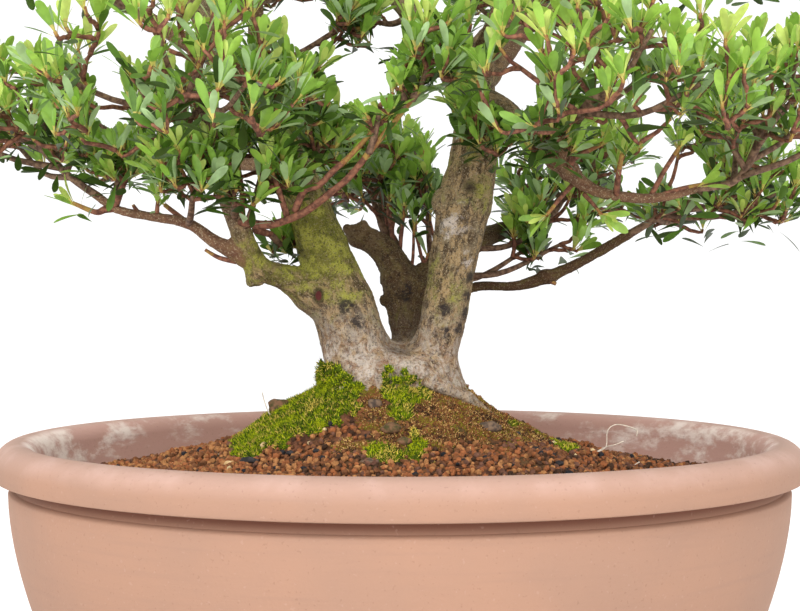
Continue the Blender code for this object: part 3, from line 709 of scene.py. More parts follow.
def makeGrains():
    shape = grainShape
    chance = np.random.default_rng(shape["seed"])
    names = list(grainTones)
    weights = np.array([grainTones[name][1] for name in names], float)
    materials = [plainMaterial(name, grainTones[name][0], 0.92, 0.2, 0.4, 500.0) for name in names]
    points, faces = icoShape()
    outer = wallRadius(soilShape["level"]) - shape["wallGap"]
    least, span = shape["mossMargin"]
    for piece, spacing in (("soilGrains", shape["frontSpacing"]), ("soilGrainsBack", shape["backSpacing"])):
        x, y = strewn(chance, spacing, shape["stray"], shape["trunkGap"], outer)
        ground = np.stack([x, y, heapHeight(x, y)], axis=-1)
        overgrown = inEllipses(sightPlaces(ground), mossSights + crustSights)
        # the moss that the ellipses outline is in front, so behind the trunk it clears nothing
        keep = overgrown - 9.0 * (y > shape["mossReach"]) < least + chance.uniform(0, span, len(x))
        keep &= (y > shape["backStart"]) == (piece == "soilGrainsBack")
        x, y, ground = x[keep], y[keep], ground[keep]
        share = chance.beta(*shape["sizeSpread"], len(x))
        size = shape["small"] + (shape["large"] - shape["small"]) * share
        lift = size * chance.uniform(*shape["lift"], len(x))
        places = ground + heapSlope(x, y) * lift[:, None]
        jolted = points[None] * chance.uniform(*shape["jolt"], (len(x), len(points), 1))
        sizes = size[:, None] * chance.uniform(*shape["stretch"], (len(x), 3))
        tone = chance.choice(len(names), len(x), p=weights / weights.sum())
        # drier towards the left wall, where brown and mauve give way to tan
        dry = (x < shape["drySide"]) & (tone > 2) & (tone < 5)
        tone = np.where(dry & (chance.uniform(0, 1, len(x)) < shape["dryShare"]), 2, tone)
        skin = copiesOf(jolted, faces, places, randomFrames(chance, len(x)), sizes)
        grains = arrayPiece(piece, *skin, materials, np.repeat(tone, len(faces)), smooth=False)
        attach(grains, "root")
        print(piece, "strewn,", len(x))


# moss: cushions of short upright blades on the heap and up the foot of the trunk

mossPatches = {
    "moss_left": {"name": "mossLeft", "headings": (218, 345), "radii": (0.037, 0.088), "seed": 77},
    "moss_front": {"name": "mossFront", "headings": (345, 405), "radii": (0.034, 0.088), "seed": 78,
                   "straw": 1.7},
    "moss_right": {"name": "mossRight", "headings": (45, 140), "radii": (0.038, 0.088), "seed": 79},
}
# moss and crust that face the eye, in millimetres on the plane of the trunk: x, z, half width, half height
mossSights = metres((
    (-33, 162, 8.5, 8.5), (-30, 156, 13, 10), (-39, 150, 19, 12.5), (-52, 144, 19, 12.5),
    (-65, 136, 16.5, 8), (-77, 127.5, 9, 6.5), (-5, 159, 8, 9.5), (5, 155, 13, 8), (0, 147, 8, 7),
    (6.5, 131, 6.5, 11), (-7, 125, 11, 6), (56, 139.5, 4, 2.2), (68, 135.2, 3.6, 2.2),
    (79, 132.5, 3.6, 2.4), (85, 128, 6, 2.2),
))
crustSights = metres((
    (28, 148, 27, 12), (43, 140, 24, 11), (18, 142, 19, 16), (64, 135, 12, 5), (-11, 142, 10, 9),
    (-12.5, 153, 8, 7), (2, 134, 12, 12), (-24, 129, 9, 4),
))
mossBack = (225, 268)
mossShape = {
    "spacing": 0.0021,
    "stray": 0.4,
    "footTufts": 700,
    "footRadii": (0.0362, 0.0306),
    "footLow": 0.156,
    "footTop": 0.1705,
    "backLow": 0.128,
    "tuftRadius": (0.0012, 0.0026),
    "bladesATuft": 27,
    "bladeLength": (0.0009, 0.0026),
    "bladeWidth": 0.00026,
    "ragged": 0.60,
    "drift": (130, 0.9, 0.35),  # scale, depth, stray
    "raggedScale": 190,
    "raggedCrust": 0.3,
    "least": 0.10,
    "crustHeight": 0.55,
    "flatness": 0.8,
    "bladeRoot": 0.85,
    "bladeStray": 0.75,
    "bladeUpward": 0.4,
    "bladeWidths": (0.7, 1.4),
    "footCrowding": 1.4,
    "footTilt": 0.4,
    "backDepth": 0.3,
    "mossReach": 0.004,
    "crustReach": 0.03,
}
mossBeds = {"mossBed": shade(84, 100, 24), "crustBed": shade(138, 94, 58)}
mossTones = {
    "mossBright": (shade(180, 188, 26), 28),
    "mossGreen": (shade(110, 134, 12), 30),
    "mossDark": (shade(54, 76, 8), 28),
    "mossStraw": (shade(226, 200, 92), 14),
}
crustTones = {
    "crustGreen": (shade(138, 130, 40), 20),
    "crustBrown": (shade(148, 94, 54), 36),
    "crustStraw": (shade(224, 182, 114), 16),
    "crustDark": (shade(72, 50, 34), 28),
}


def drifted(chance, places, blades, tones, straw=1.0):
    # neighbours share a tone, so that it falls in drifts
    weights = np.array([weight * (straw if "Straw" in name else 1.0) for name, (_, weight) in tones.items()])
    scale, depth, stray = mossShape["drift"]
    drift = np.array([noise.noise(Vector(place) * scale) for place in places]) * depth
    pick = np.repeat(drift, blades) + chance.normal(0, stray, len(places) * blades)
    rank = np.argsort(np.argsort(pick)) / max(1, len(pick))
    return np.minimum(np.searchsorted(np.cumsum(weights / weights.sum()), rank), len(tones) - 1)


def tuftPatch(name, places, normals, crusty, materials, chance, straw):
    # a low cushion at each place, set with blades
    shape = mossShape
    spike = np.array([(1, 0, 0), (-0.5, 0.87, 0), (-0.5, -0.87, 0), (0, 0, 1)])
    spikeFaces = [(0, 1, 3), (1, 2, 3), (2, 0, 3), (2, 1, 0)]
    icoCorners, icoFaces = icoShape()
    blades = shape["bladesATuft"]
    low = np.where(crusty, shape["crustHeight"], 1.0)
    tuft = chance.uniform(*shape["tuftRadius"], len(places))
    side = unit(np.cross(normals, randomFrames(chance, len(places))[:, 0]))
    frames = np.stack([side, np.cross(normals, side), normals], axis=1)
    flat = np.stack([tuft, tuft, tuft * shape["flatness"] * low], axis=-1)
    skins = [copiesOf(icoCorners, icoFaces, places, frames, flat)]
    kinds = [np.repeat(np.where(crusty, 1, 0), len(icoFaces))]
    out = unit(chance.normal(size=(len(places), blades, 3)))
    out[..., 2] = np.abs(out[..., 2]) * 0.9 + 0.1
    out = np.einsum("nbk,nkd->nbd", unit(out), frames)
    roots = (places[:, None] + out * flat[:, None, :] * shape["bladeRoot"]).reshape(-1, 3)
    lean = out.reshape(-1, 3) + chance.normal(size=(len(roots), 3)) * shape["bladeStray"]
    lean = unit(lean + np.array([0, 0, shape["bladeUpward"]]))
    side = unit(np.cross(lean, randomFrames(chance, len(roots))[:, 0]))
    frames = np.stack([side, np.cross(lean, side), lean], axis=1)
    length = chance.uniform(*shape["bladeLength"], len(roots)) * np.repeat(low, blades)
    wide = np.full_like(length, shape["bladeWidth"]) * chance.uniform(*shape["bladeWidths"], len(roots))
    skins.append(copiesOf(spike, spikeFaces, roots, frames, np.stack([wide, wide, length], axis=-1)))
    green = drifted(chance, places, blades, mossTones, straw) + 2
    brown = drifted(chance, places, blades, crustTones) + 2 + len(mossTones)
    kinds.append(np.repeat(np.where(np.repeat(crusty, blades), brown, green), len(spikeFaces)))
    return arrayPiece(name, *joinSkins(skins), materials, np.concatenate(kinds), smooth=False)


def makeMoss():
    shape = mossShape
    materials = [plainMaterial(name, colour, 0.95, 0.1, 0.5, 260.0) for name, colour in mossBeds.items()]
    materials += [plainMaterial(name, colour, 0.9, 0.2, 0.3, 350.0)
                  for name, (colour, _) in [*mossTones.items(), *crustTones.items()]]
    centre = np.array(soilShape["heapCentre"])
    for node, patch in mossPatches.items():
        chance = np.random.default_rng(patch["seed"])
        x, y = strewn(chance, shape["spacing"], shape["stray"], *patch["radii"])
        places = np.stack([x, y, heapHeight(x, y)], axis=-1)
        # up the foot of the trunk
        count = shape["footTufts"]
        heading = np.radians(chance.uniform(0, 360, count))
        level = np.stack([np.sin(heading), -np.cos(heading)], axis=-1)
        low, top = shape["footLow"], shape["footTop"]
        rise = low + (top - low) * chance.uniform(0, 1, (count, 1)) ** shape["footCrowding"]
        wall = np.concatenate([centre + level * shape["footRadii"], rise], axis=1)
        normals = unit(np.concatenate([level, np.full((count, 1), shape["footTilt"])], axis=1))
        normals = np.concatenate([heapSlope(x, y), normals])
        places = np.concatenate([places, wall])
        turn = np.degrees(np.arctan2(places[:, 0] - centre[0], centre[1] - places[:, 1])) % 360
        first, last = patch["headings"]
        inside = ((turn - first) % 360) < (last - first)
        sights = sightPlaces(places)
        depth = inEllipses(sights, mossSights)
        crust = inEllipses(sights, crustSights)
        behind = ((turn - mossBack[0]) % 360 < mossBack[1] - mossBack[0]) & (places[:, 2] > shape["backLow"])
        backDepth = np.where(behind, shape["backDepth"], -1.0)
        depth = np.where(places[:, 1] > shape["mossReach"], backDepth, depth)
        crust = np.where(places[:, 1] > shape["crustReach"], -1.0, crust)
        ragged = np.array([noise.noise(Vector(place) * shape["raggedScale"]) for place in places])
        crusty = crust + ragged[::-1] * shape["raggedCrust"] > depth
        keep = inside & (np.maximum(depth, crust) + ragged * shape["ragged"] > shape["least"])
        straw = patch.get("straw", 1.0)
        moss = tuftPatch(patch["name"], places[keep], normals[keep], crusty[keep], materials, chance, straw)
        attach(moss, "root")
        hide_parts(node)
        print(patch["name"], int(keep.sum()), "tufts,", len(moss.data.polygons), "faces")
    print("moss laid")


# litter: stones, bits and dry roots that lie on the heap, by where they show on the plane of the trunk,
# in millimetres

litterStones = {  # tone: x, z, half sizes
    "stoneMossy": ((-60, 147.5, 5.8, 5.2, 4.2), (-4, 136.5, 5, 4, 3), (2, 130, 3.4, 3, 2.4)),
    "stoneCream": ((-67.5, 128.5, 2.2, 1.8, 1.5), (-85, 119, 3, 2.2, 1.6), (96, 126, 1.7, 1.4, 1.2)),
    "stoneDark": (
        (-75, 121, 4.6, 3.4, 1.6), (-55, 124.5, 1.8, 1.4, 1.2), (-42, 125.5, 1.6, 1.4, 1.2),
        (59, 134, 1.8, 1.6, 1.3), (80, 119.5, 2, 1.5, 1.2), (68, 126.8, 1.6, 1.4, 1.1),
        (115, 123.8, 1.6, 1.3, 1),
    ),
    "stoneGrey": ((-15, 120.5, 4.2, 3, 1.3), (-12.5, 149, 3.4, 3, 2.6), (45, 137.5, 5.6, 4, 3)),
}
litterTones = {
    "stoneMossy": (shade(126, 90, 66), shade(70, 66, 34)),
    "stoneCream": (shade(214, 186, 140), shade(180, 146, 100)),
    "stoneDark": (shade(62, 58, 58), shade(34, 32, 34)),
    "stoneGrey": (shade(122, 98, 78), shade(74, 62, 54)),
}
litterStrands = {  # rows of x and z; the lowest lies on the soil
    "hair": ((-69, 156), (-68, 152), (-66, 146.5), (-64, 144)),
    "dryRoot": ((97, 125.7), (103, 128.7), (104, 137), (109, 140), (118, 137.5), (118.5, 134)),
    "dryRootSide": ((97.5, 125.9), (103, 128.7), (108, 130), (112, 131.7)),
    "shortRoot": ((116, 118.8), (118, 120.2), (120, 121.3)),
    "leftRoot": ((-91, 125.2), (-87, 125.8), (-83, 125.2)),
}
litterShape = {
    "stoneRise": 0.0010,
    "dents": ((0.30, 1.3), (0.16, 4.0), (0.06, 11.0)),
    "dentSpread": 90,
    "strandRadius": 0.00028,
    "strandRise": 0.0004,
    "strandTone": shade(222, 208, 190),
}


def groundPlace(x, z, rise=0.0):
    # where the line from the eye through x and z on the trunk's plane first comes down to the soil,
    # plus a rise
    eye = stageLook["cameraPlace"]
    depth = np.linspace(-0.165, 0.150, 900)
    share = (depth - eye[1]) / -eye[1]
    across, height = x * share, eye[2] + (z - eye[2]) * share
    low = np.flatnonzero(height < heapHeight(across, depth) + rise)
    spot = low[0] if len(low) else len(depth) // 2
    return Vector((across[spot], depth[spot], float(heapHeight(across[spot], depth[spot])) + rise))


def makeStone(half, place, material):
    # a pebble dented by noise that its place picks
    bpy.ops.mesh.primitive_ico_sphere_add(subdivisions=3, radius=1.0)
    stone = bpy.context.object
    for vertex in stone.data.vertices:
        out = vertex.co.normalized()
        dent = 1.0
        for depth, scale in litterShape["dents"]:
            dent += depth * noise.noise(out * scale + place * litterShape["dentSpread"])
        vertex.co = Vector([out[axis] * half[axis] * dent for axis in range(3)]) + place
    stone.data.materials.append(material)
    return stone


def makeLitter():
    shape = litterShape
    bpy.ops.object.select_all(action="DESELECT")
    stones = []
    for name, rows in litterStones.items():
        light, dark = litterTones[name]
        material = plainMaterial(name, light, 0.85, 0.3, 0.3, 380.0, dark)
        for x, z, *half in metres(rows):
            stones.append(makeStone(half, groundPlace(x, z) + upward * shape["stoneRise"], material))
    for stone in stones:
        stone.select_set(True)
    bpy.context.view_layer.objects.active = stones[0]
    bpy.ops.object.join()
    stones[0].name = "litterStones"
    stones[0].data.shade_smooth()
    skins = []
    for rows in metres(tuple(litterStrands.values())):
        # a strand keeps the depth at which its lowest point meets the soil
        depth = groundPlace(*min(rows, key=lambda row: row[1]), shape["strandRise"]).y
        places = [trueRow((x, z, depth, shape["strandRadius"])) for x, z in rows]
        skins.append(tubeSkin(smoothRoute(places, 6), 6))
    dry = plainMaterial("dryRoot", shape["strandTone"], 0.8, 0.2, 0.3, 600.0)
    strands = arrayPiece("litterStrands", *joinSkins(skins), [dry])
    for piece in (stones[0], strands):
        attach(piece, "root")
    print("litter laid")


# bark: trunk, stems and boughs as one skin with its relief

barkShape = {
    "trunkRows": (  # height over the soil, half width, half depth, how far the root ridges stand out
        (-0.006, 0.062, 0.056, 0.24),
        (0.000, 0.058, 0.052, 0.22),
        (0.012, 0.051, 0.045, 0.17),
        (0.026, 0.044, 0.038, 0.12),
        (0.040, 0.0378, 0.032, 0.07),
        (0.048, 0.0354, 0.0296, 0.03),
        (0.0550, 0.0342, 0.0278, 0.00),
        (0.0600, 0.0325, 0.0250, 0.00),
        (0.0640, 0.0285, 0.0205, 0.00),
        (0.0665, 0.0210, 0.0140, 0.00),
        (0.0675, 0.0110, 0.0070, 0.00),
    ),
    "rootHeadings": (20, 78, 128, 190, 247, 312),
    "rootHalfWidth": 26,
    "axisLow": 0.107,
    "axisStep": 0.004,
    "axisSteps": 17,
    "axisGirth": 0.040,
    "trunkSides": 90,
    "stemSides": 30,
    "boughSides": 18,
    "rootSides": 16,
    "rootSteps": 5,
    "steps": 8,
    "flareGain": 0.8,
    "flareLength": 0.0075,
    "voxel": 0.00124,
    "smoothing": 4,
    "forkSpan": (0.155, 0.205),
    "forkReach": 0.05,
    "forkSmoothing": 60,
    "lumpHeight": 0.0010,
    "ridgeHeight": 0.0004,
    "pitDepth": 0.0014,
    "roughHeight": 0.00024,
    "hollowDepth": 0.0022,
    "scarHalf": (0.0028, 0.0090, 0.0044),
    "scarLip": 0.0011,
    "scarDepth": 0.0012,
    "fullRadius": 0.010,
    "lumpScales": (70, 160),
    "ridgeScale": (300, 300, 80),
    "ridgeLevel": 0.30,
    "pitScale": 420,
    "pitLevel": 0.38,
    "roughScales": (800, 1500),
    "rearLumps": 0.9,
    "rearSpan": (0.012, 0.180),
}
# limbs: rows of x, y, z and radius in millimetres
stemRoutes = {
    "stem_left": (
        (-17, 0, 146, 19), (-21.3, 0, 176, 17.4), (-29, 0, 200, 15.8), (-38, 0, 226, 13),
        (-48, 2, 254, 11), (-61, 5, 284, 9.6), (-80, 8, 316, 8.4), (-98, 10, 343, 7.2),
        (-106, 11, 372, 5.6), (-104, 10, 398, 4.4),
    ),
    "stem_right": (
        (14, 0, 146, 14.5), (17.8, 0, 176, 12), (22, 0, 195, 11.6), (26.8, 0, 222, 12),
        (32.5, 0, 252, 13.4), (37.5, 0, 280, 11.2), (35.5, 1, 312, 10), (42, 2, 328, 8), (56, 4, 345, 6.2),
        (72, 6, 372, 5.2), (76, 6, 400, 4.2),
    ),
    "stem_back": (
        (2, 18, 150, 9), (2.5, 22.5, 176, 8), (2.2, 24, 189, 7.6), (2, 26.2, 202, 9.2),
        (-0.5, 28, 215, 9.4), (-6.5, 29.5, 226, 7.8), (-15, 30, 233, 6.8), (-23.5, 30, 236.5, 6.2),
    ),
}
# each bough's first place lies on its carrier's own line
boughRoutes = {
    "bough_left_low": (
        (-37.5, 0, 205, 7.5), (-56, -10, 213, 6), (-70, -20, 220, 5.6), (-78.5, -30, 240, 5),
        (-85, -42, 260, 4.4), (-88, -54, 278, 3.8),
    ),
    "bough_left_side": (
        (-72.2, -21.6, 223.2, 3.8), (-88, -26, 229.6, 3.1), (-102, -27, 239, 2.8), (-121, -28, 242.6, 2.4),
        (-136, -28, 245.8, 2.3), (-148, -28, 254, 2.2),
    ),
    "bough_left_back": ((-52, 3, 264, 5.6), (-66, 30, 272, 4.6), (-86, 56, 276, 4), (-104, 72, 282, 3.4)),
    "bough_back_middle": (
        (0.2, 27.6, 212, 4.4), (-3, 50, 229, 3.8), (-9, 78, 245, 3.4), (-10, 104, 260, 3),
    ),
    "bough_back_right": ((1.9, 26.3, 203, 6.6), (19, 37, 219, 6.2), (43, 52, 235, 5.8), (68, 74, 244, 4.2)),
    "bough_right_low": (
        (2.2, 23.7, 187, 4), (22, 41, 201, 3), (40, 46, 209.5, 2.6), (60, 45, 209.8, 2.6),
        (76, 43, 214, 3.6), (96, 40, 223, 2.8), (122, 34, 238, 2.4),
    ),
    "bough_right_side": (
        (36.4, 0, 296, 6.8), (52, -6, 295, 5.6), (68, -18, 279, 4.6), (82, -34, 262, 4),
        (96, -40, 253, 2.9), (120, -42, 250.4, 2.5), (144, -40, 256, 2.3),
    ),
    "bough_right_front": ((75.2, -26, 270.2, 3.6), (78, -44, 273, 3.2), (80, -62, 280, 2.8)),
    "bough_mid_left": ((-86, 8.5, 325, 4.8), (-108, 6, 333, 4.2), (-130, 2, 346, 3.6)),
    "bough_mid_left_front": (
        (-70, 6.5, 300, 5), (-70, -18, 318, 4.4), (-68, -46, 342, 3.8), (-68, -64, 356, 3.4),
    ),
    "bough_mid_left_back": ((-94, 9.5, 336, 4.6), (-92, 34, 348, 4), (-88, 62, 360, 3.4)),
    "bough_mid_right_back": ((36, 1, 305, 5.6), (48, 26, 320, 4.8), (62, 56, 340, 3.8)),
    "bough_mid_right": ((53, 3.5, 341.5, 4.8), (78, 3, 348, 4.2), (106, 1, 356, 3.4)),
    "bough_mid_right_front": ((37.5, 1, 318, 5.2), (43, -24, 330, 4.4), (54, -62, 356, 3.4)),
    "bough_top": (
        (35.6, 1, 311, 6.6), (20, -1, 331, 6.2), (6, 0, 345, 5.6), (-7, 2, 364, 5.2), (-12, 4, 392, 4.6),
        (-9, 5, 416, 4),
    ),
}
# swellings and healed cuts, in millimetres: middle, half sizes
barkKnobs = {
    "leftElbow": ((-70, -20, 215.5), (5.8, 6.2, 6.8)),
    "leftSpur": ((-72.7, -22, 211.5), (2.8, 2.6, 3.4)),
    "backKnot": ((-6.2, 21, 196), (1.8, 2.2, 2.8)),
    "backHead": ((-22.5, 29, 236.2), (5.2, 6.8, 6.6)),
    "backHeadTop": ((-19.5, 27, 241.5), (3.4, 4, 3)),
    "backHeadSide": ((-27.2, 28, 239.5), (2.6, 3.4, 2.6)),
    "backSpurLow": ((-9, 23, 202), (2.2, 2.6, 3)),
    "backNeck": ((-15, 26, 230), (4.4, 4.4, 3)),
    "rightBulge": ((21.5, -4, 251), (5.5, 7, 8)),
    "elbowRight": ((81, -33, 264), (5.6, 5.2, 5.4)),
    "crossing": ((78, 42.5, 215), (6, 5.2, 4.4)),
}
barkLook = {
    "streakScale": (300, 300, 120),
    "mottleScale": (230, 230, 180),
    "sootScale": (170, 170, 100),
    "inkScale": (300, 300, 190),
    "blotchScale": 130.0,
    "fineScale": 620.0,
    "dustScale": 1150.0,
    "wideScale": 40.0,
    "footBand": (0.171, 0.035),
    "youngSpan": (0.0034, 0.0058),
    "bumpHeight": 0.0020,
    "tan": shade(178, 150, 108),
    "grey": shade(136, 120, 94),
    "brown": shade(92, 74, 54),
    "speck": shade(48, 38, 30),
    "fleck": shade(196, 178, 146),
    "young": shade(128, 86, 66),
    # painted shade for the stem behind the front stems
    "dusk": shade(78, 56, 34),
    "head": shade(150, 122, 92),
    "charcoal": shade(46, 40, 42),
    "algae": shade(172, 172, 64),
    "olive": shade(110, 112, 36),
    "pale": shade(230, 216, 204),
    "pink": shade(160, 118, 94),
    "scar": shade(104, 50, 48),
}
# marks and films on the stems, in millimetres: middle, radius
barkMarks = {
    "charcoal": (
        (-26.2, -16, 199, 3.6), (-20.5, -17, 191.5, 3.3), (-34.5, -13, 239, 3), (-34.5, -16.5, 180, 3),
        (31.8, -6, 204, 3.1), (32.5, -5, 196, 3), (30, -8, 188, 2.8), (21.8, -11.5, 197.5, 2.8),
        (22.5, -11, 186, 2.6), (33, -6, 214, 3.2), (2.5, 17, 206, 4.2),
    ),
    # hollows: dents in the skin, also darkened with painted shade
    "hollow": ((34.5, -10.5, 258, 6.8), (0, -10, 182, 12)),
    "pale": (
        (-18, -24, 169, 13), (1, -23, 174, 12), (15, -23, 167, 11), (-37, -10, 174, 10),
        (27, -12, 240, 15), (33, -12, 220, 11),
    ),
    "film": ((-40, -12, 234, 50), (-75, -20, 225, 30), (30, -10, 275, 50), (22, -12, 205, 30)),
    "head": ((-20, 28, 240, 22),),
}
filmShares = (1.0, 0.4, 0.30, 0.35)
scarPlace = (-0.0400, -0.0128, 0.2045)
# roots that show on the heap: rows of x, y, z and radius in millimetres
surfaceRoots = (
    ((12, -27, 165, 4), (22, -24, 159.6, 4), (33, -17.5, 154, 3.6), (44, -14, 146.2, 2.6),
     (56, -12, 138.5, 1.6)),
)


def rootRidge(heading):
    ridge = 0.0
    for root in barkShape["rootHeadings"]:
        off = abs((heading - root + 180) % 360 - 180)
        ridge = max(ridge, float(smoothstep(1.0 - off / barkShape["rootHalfWidth"])))
    return ridge


def limbRoutes():
    # every limb's smooth route, by name
    tables = {**stemRoutes, **boughRoutes}
    return {name: smoothRoute(metres(rows), barkShape["steps"]) for name, rows in tables.items()}


def flaredRoute(name, route):
    # a bough widens where it leaves its carrier
    if name not in boughRoutes:
        return route
    away, last, flared = 0.0, route[0][0], []
    start = route[0][1] * 1.4
    for place, radius in route:
        away += (place - last).length
        last = place
        gain = barkShape["flareGain"] * math.exp(-max(0.0, away - start) / barkShape["flareLength"])
        flared.append((place, radius * (1.0 + gain)))
    return flared


def trunkSkin():
    sides = barkShape["trunkSides"]
    centreX, centreY = soilShape["heapCentre"]
    rings = []
    for (rise, wide, deep), ridge in smoothRoute(barkShape["trunkRows"], 4):
        ring = []
        for side in range(sides):
            heading = 360 * side / sides
            level = direction(heading)
            out = 1.0 + ridge * rootRidge(heading)
            ring.append((centreX + level.x * wide * out, centreY + level.y * deep * out,
                         soilShape["level"] + rise))
        rings.append(ring)
    return skinRings(rings)


def grainOf(points, routes):
    # for each place: arc offsets round its limb and length along it, with the limb's radius
    shape = barkShape
    rows, frames = [], []
    heights = [shape["axisLow"] + shape["axisStep"] * step for step in range(shape["axisSteps"])]
    trunk = [(Vector((*soilShape["heapCentre"], height)), shape["axisGirth"]) for height in heights]
    for route in (trunk, *routes.values()):
        along = 0.0
        last = route[0][0]
        for place, radius, ahead, across, beside in routeFrames(route):
            along += (place - last).length
            last = place
            rows.append(place)
            frames.append((*place, radius, *across, *beside, *ahead, along))
    tree = KDTree(len(rows))
    for number, place in enumerate(rows):
        tree.insert(place, number)
    tree.balance()
    nearest = np.array([tree.find(Vector(point))[1] for point in points])
    found = np.array(frames)[nearest]
    off = points - found[:, :3]
    across, beside, ahead = (np.einsum("nd,nd->n", off, found[:, first:first + 3]) for first in (4, 7, 10))
    return np.stack([across, beside, found[:, 13] + ahead], axis=-1), found[:, 3]


def barkRelief(places, grain, girth):
    # how far the skin stands out: slow swellings, faint ridges along the limb and fine roughness
    shape = barkShape
    out = np.zeros(len(places))
    lumpScale, dentScale = shape["lumpScales"]
    roughScale, dustScale = shape["roughScales"]
    rearFrom, rearLow = shape["rearSpan"]
    for number, (place, along, radius) in enumerate(zip(places, grain, girth)):
        full = min(1.0, radius / shape["fullRadius"])
        spot = Vector(place)
        run = Vector(along)
        lump = noise.noise(spot * lumpScale) + 0.5 * noise.noise(spot * dentScale)
        ridge = abs(noise.noise(Vector([run[axis] * shape["ridgeScale"][axis] for axis in range(3)])))
        pit = max(0.0, noise.noise(spot * shape["pitScale"]) - shape["pitLevel"])
        lump *= 1.0 + shape["rearLumps"] * float(place[1] > rearFrom and place[2] > rearLow)
        rough = noise.noise(spot * roughScale) + 0.6 * noise.noise(spot * dustScale)
        out[number] = (lump * shape["lumpHeight"] - (shape["ridgeLevel"] - ridge) * shape["ridgeHeight"]
                       - pit * shape["pitDepth"]) * full
        out[number] += rough * shape["roughHeight"] * (0.4 + 0.6 * full)
    for *middle, radius in metres(barkMarks["hollow"]):
        away = np.linalg.norm(places - np.array(middle), axis=1) / radius
        out -= shape["hollowDepth"] * smoothstep(1.0 - away)
    # the healed cut: a swollen lip round a dent
    reach = np.linalg.norm((places - np.array(scarPlace)) / shape["scarHalf"], axis=1)
    lip = shape["scarLip"] * np.exp(-((reach - 0.95) / 0.30) ** 2)
    return out + lip - shape["scarDepth"] * smoothstep(1.0 - reach / 0.7)


def barkMaterial():
    look = barkLook
    material, wire = newMaterial("bark")
    place = wire.node("TexCoord", take="Object")
    grain = wire.node("Attribute", {"attribute_name": "grain"}, take="Vector")
    girth = wire.node("Attribute", {"attribute_name": "girth"}, take="Fac")
    _, y, z = wire.parts(place)

    def spots(rows, widen=1.0):
        return [wire.spot(place, middle, radius * widen) for *middle, radius in metres(rows)]

    streak = wire.noise(wire.stretch(grain, look["streakScale"]), 1.0, 5.0, 0.68)
    blotch = wire.noise(place, look["blotchScale"], 5.0, 0.66, 0.4)
    fine = wire.noise(place, look["fineScale"], 4.0, 0.78)
    dust = wire.noise(place, look["dustScale"], 3.0, 0.75)
    wide = wire.noise(place, look["wideScale"], 4.0)
    mottle = wire.noise(wire.stretch(grain, look["mottleScale"]), 1.0, 6.0, 0.74, 0.9).step(0.39, 0.60)
    colour = wire.mix(streak.step(0.42, 0.58), look["brown"], look["tan"])
    colour = wire.mix(blotch.step(0.46, 0.58) * 0.8, colour, look["grey"])
    # green film on the upper left stem, thinner elsewhere
    green = sum(spot * share for spot, share in zip(spots(barkMarks["film"]), filmShares))
    cover = (green * 1.20 + (blotch - 0.5) * 2.0 + (wide - 0.5) * 1.2).step(0.10, 0.85)
    film = wire.mix((fine + (blotch - 0.5) * 1.4).step(0.40, 0.60), look["olive"], look["algae"])
    colour = wire.mix(cover * 0.85, colour, film)
    # thin pink bark low down, with bleached patches
    foot = z.near(*look["footBand"]) * (wide * 0.6 + blotch * 0.9).step(0.45, 0.85)
    colour = wire.mix(foot * 0.75, colour, wire.mix(mottle, look["pink"], look["pale"]))
    bleached = sum(spots(barkMarks["pale"]))
    bleached = (bleached * 0.85 + (blotch - 0.5) * 3.0
                + (fine - 0.5) * 2.0).step(0.40, 1.00) * bleached.step(0.0, 0.25)
    colour = wire.mix(bleached * 0.85, colour, look["pale"])
    # thin limbs are younger and redder; the stem behind is painted darker, a painted shade where it stands
    # behind the front stems, streaked with olive film
    colour = wire.mix((1 - girth.step(*look["youngSpan"])) * 0.75, colour, look["young"])
    behind = y.step(0.008, 0.016) * z.step(0.172, 0.188) * (1 - z.step(0.255, 0.275))
    backShadeAndFilm = wire.mix(streak.step(0.45, 0.70) * 0.35, look["dusk"], look["olive"])
    colour = wire.mix(behind * 0.80, colour, backShadeAndFilm)
    crown = spots(barkMarks["head"])[0] * (blotch * 1.4 + fine * 0.6).step(0.75, 1.15)
    colour = wire.mix(crown * 0.8, colour, look["head"])
    # fine dark and pale speckles
    thick = girth.step(0.003, 0.008) * (1 - foot * 0.4)
    colour = wire.mix(fine.step(0.53, 0.61) * 0.80 * (0.35 + thick * 0.65), colour, look["speck"])
    colour = wire.mix(dust.step(0.54, 0.63) * (0.70 - behind * 0.40 - cover * 0.40), colour, look["fleck"])
    # charcoal blotches
    soot = wire.noise(wire.stretch(grain, look["sootScale"]), 1.0, 5.0, 0.75, 0.8)
    soot = soot.step(0.605, 0.665) * 0.85
    ink = wire.noise(wire.stretch(grain, look["inkScale"]), 1.0, 5.0, 0.72, 0.5).step(0.44, 0.54)
    for spot in spots(barkMarks["charcoal"], 1.6):
        soot = soot + spot * ink * 2.4
    soot = wire.maths("MINIMUM", soot * girth.step(0.004, 0.009), 1.0)
    colour = wire.mix(soot * 0.85, colour, look["charcoal"])
    # painted shade: the hollows, and the crevice where the stems fork, are darkened
    for spot in spots(barkMarks["hollow"]):
        colour = wire.mix(spot * 0.85, colour, look["speck"])
    # the healed cut like an eye
    eye = wire.node("VectorMath", {"operation": "SUBTRACT"}, {0: place, 1: scarPlace})
    eye = wire.stretch(eye, (360, 110, 228))
    eye = wire.node("VectorMath", {"operation": "LENGTH"}, {0: eye}, take="Value")
    colour = wire.mix((1 - eye.step(0.75, 1.25)) * 0.75, colour, look["speck"])
    colour = wire.mix(1 - eye.step(0.45, 0.70), colour, look["scar"])
    height = streak * 0.6 + fine * 1.0 + blotch * 0.5 + dust * 0.5 - soot * 0.25
    roughness = 0.88 - cover * 0.06
    bump = (height, look["bumpHeight"], 0.85)
    finishSurface(wire, bump=bump, colour=colour, roughness=roughness, specular=0.25)
    return material


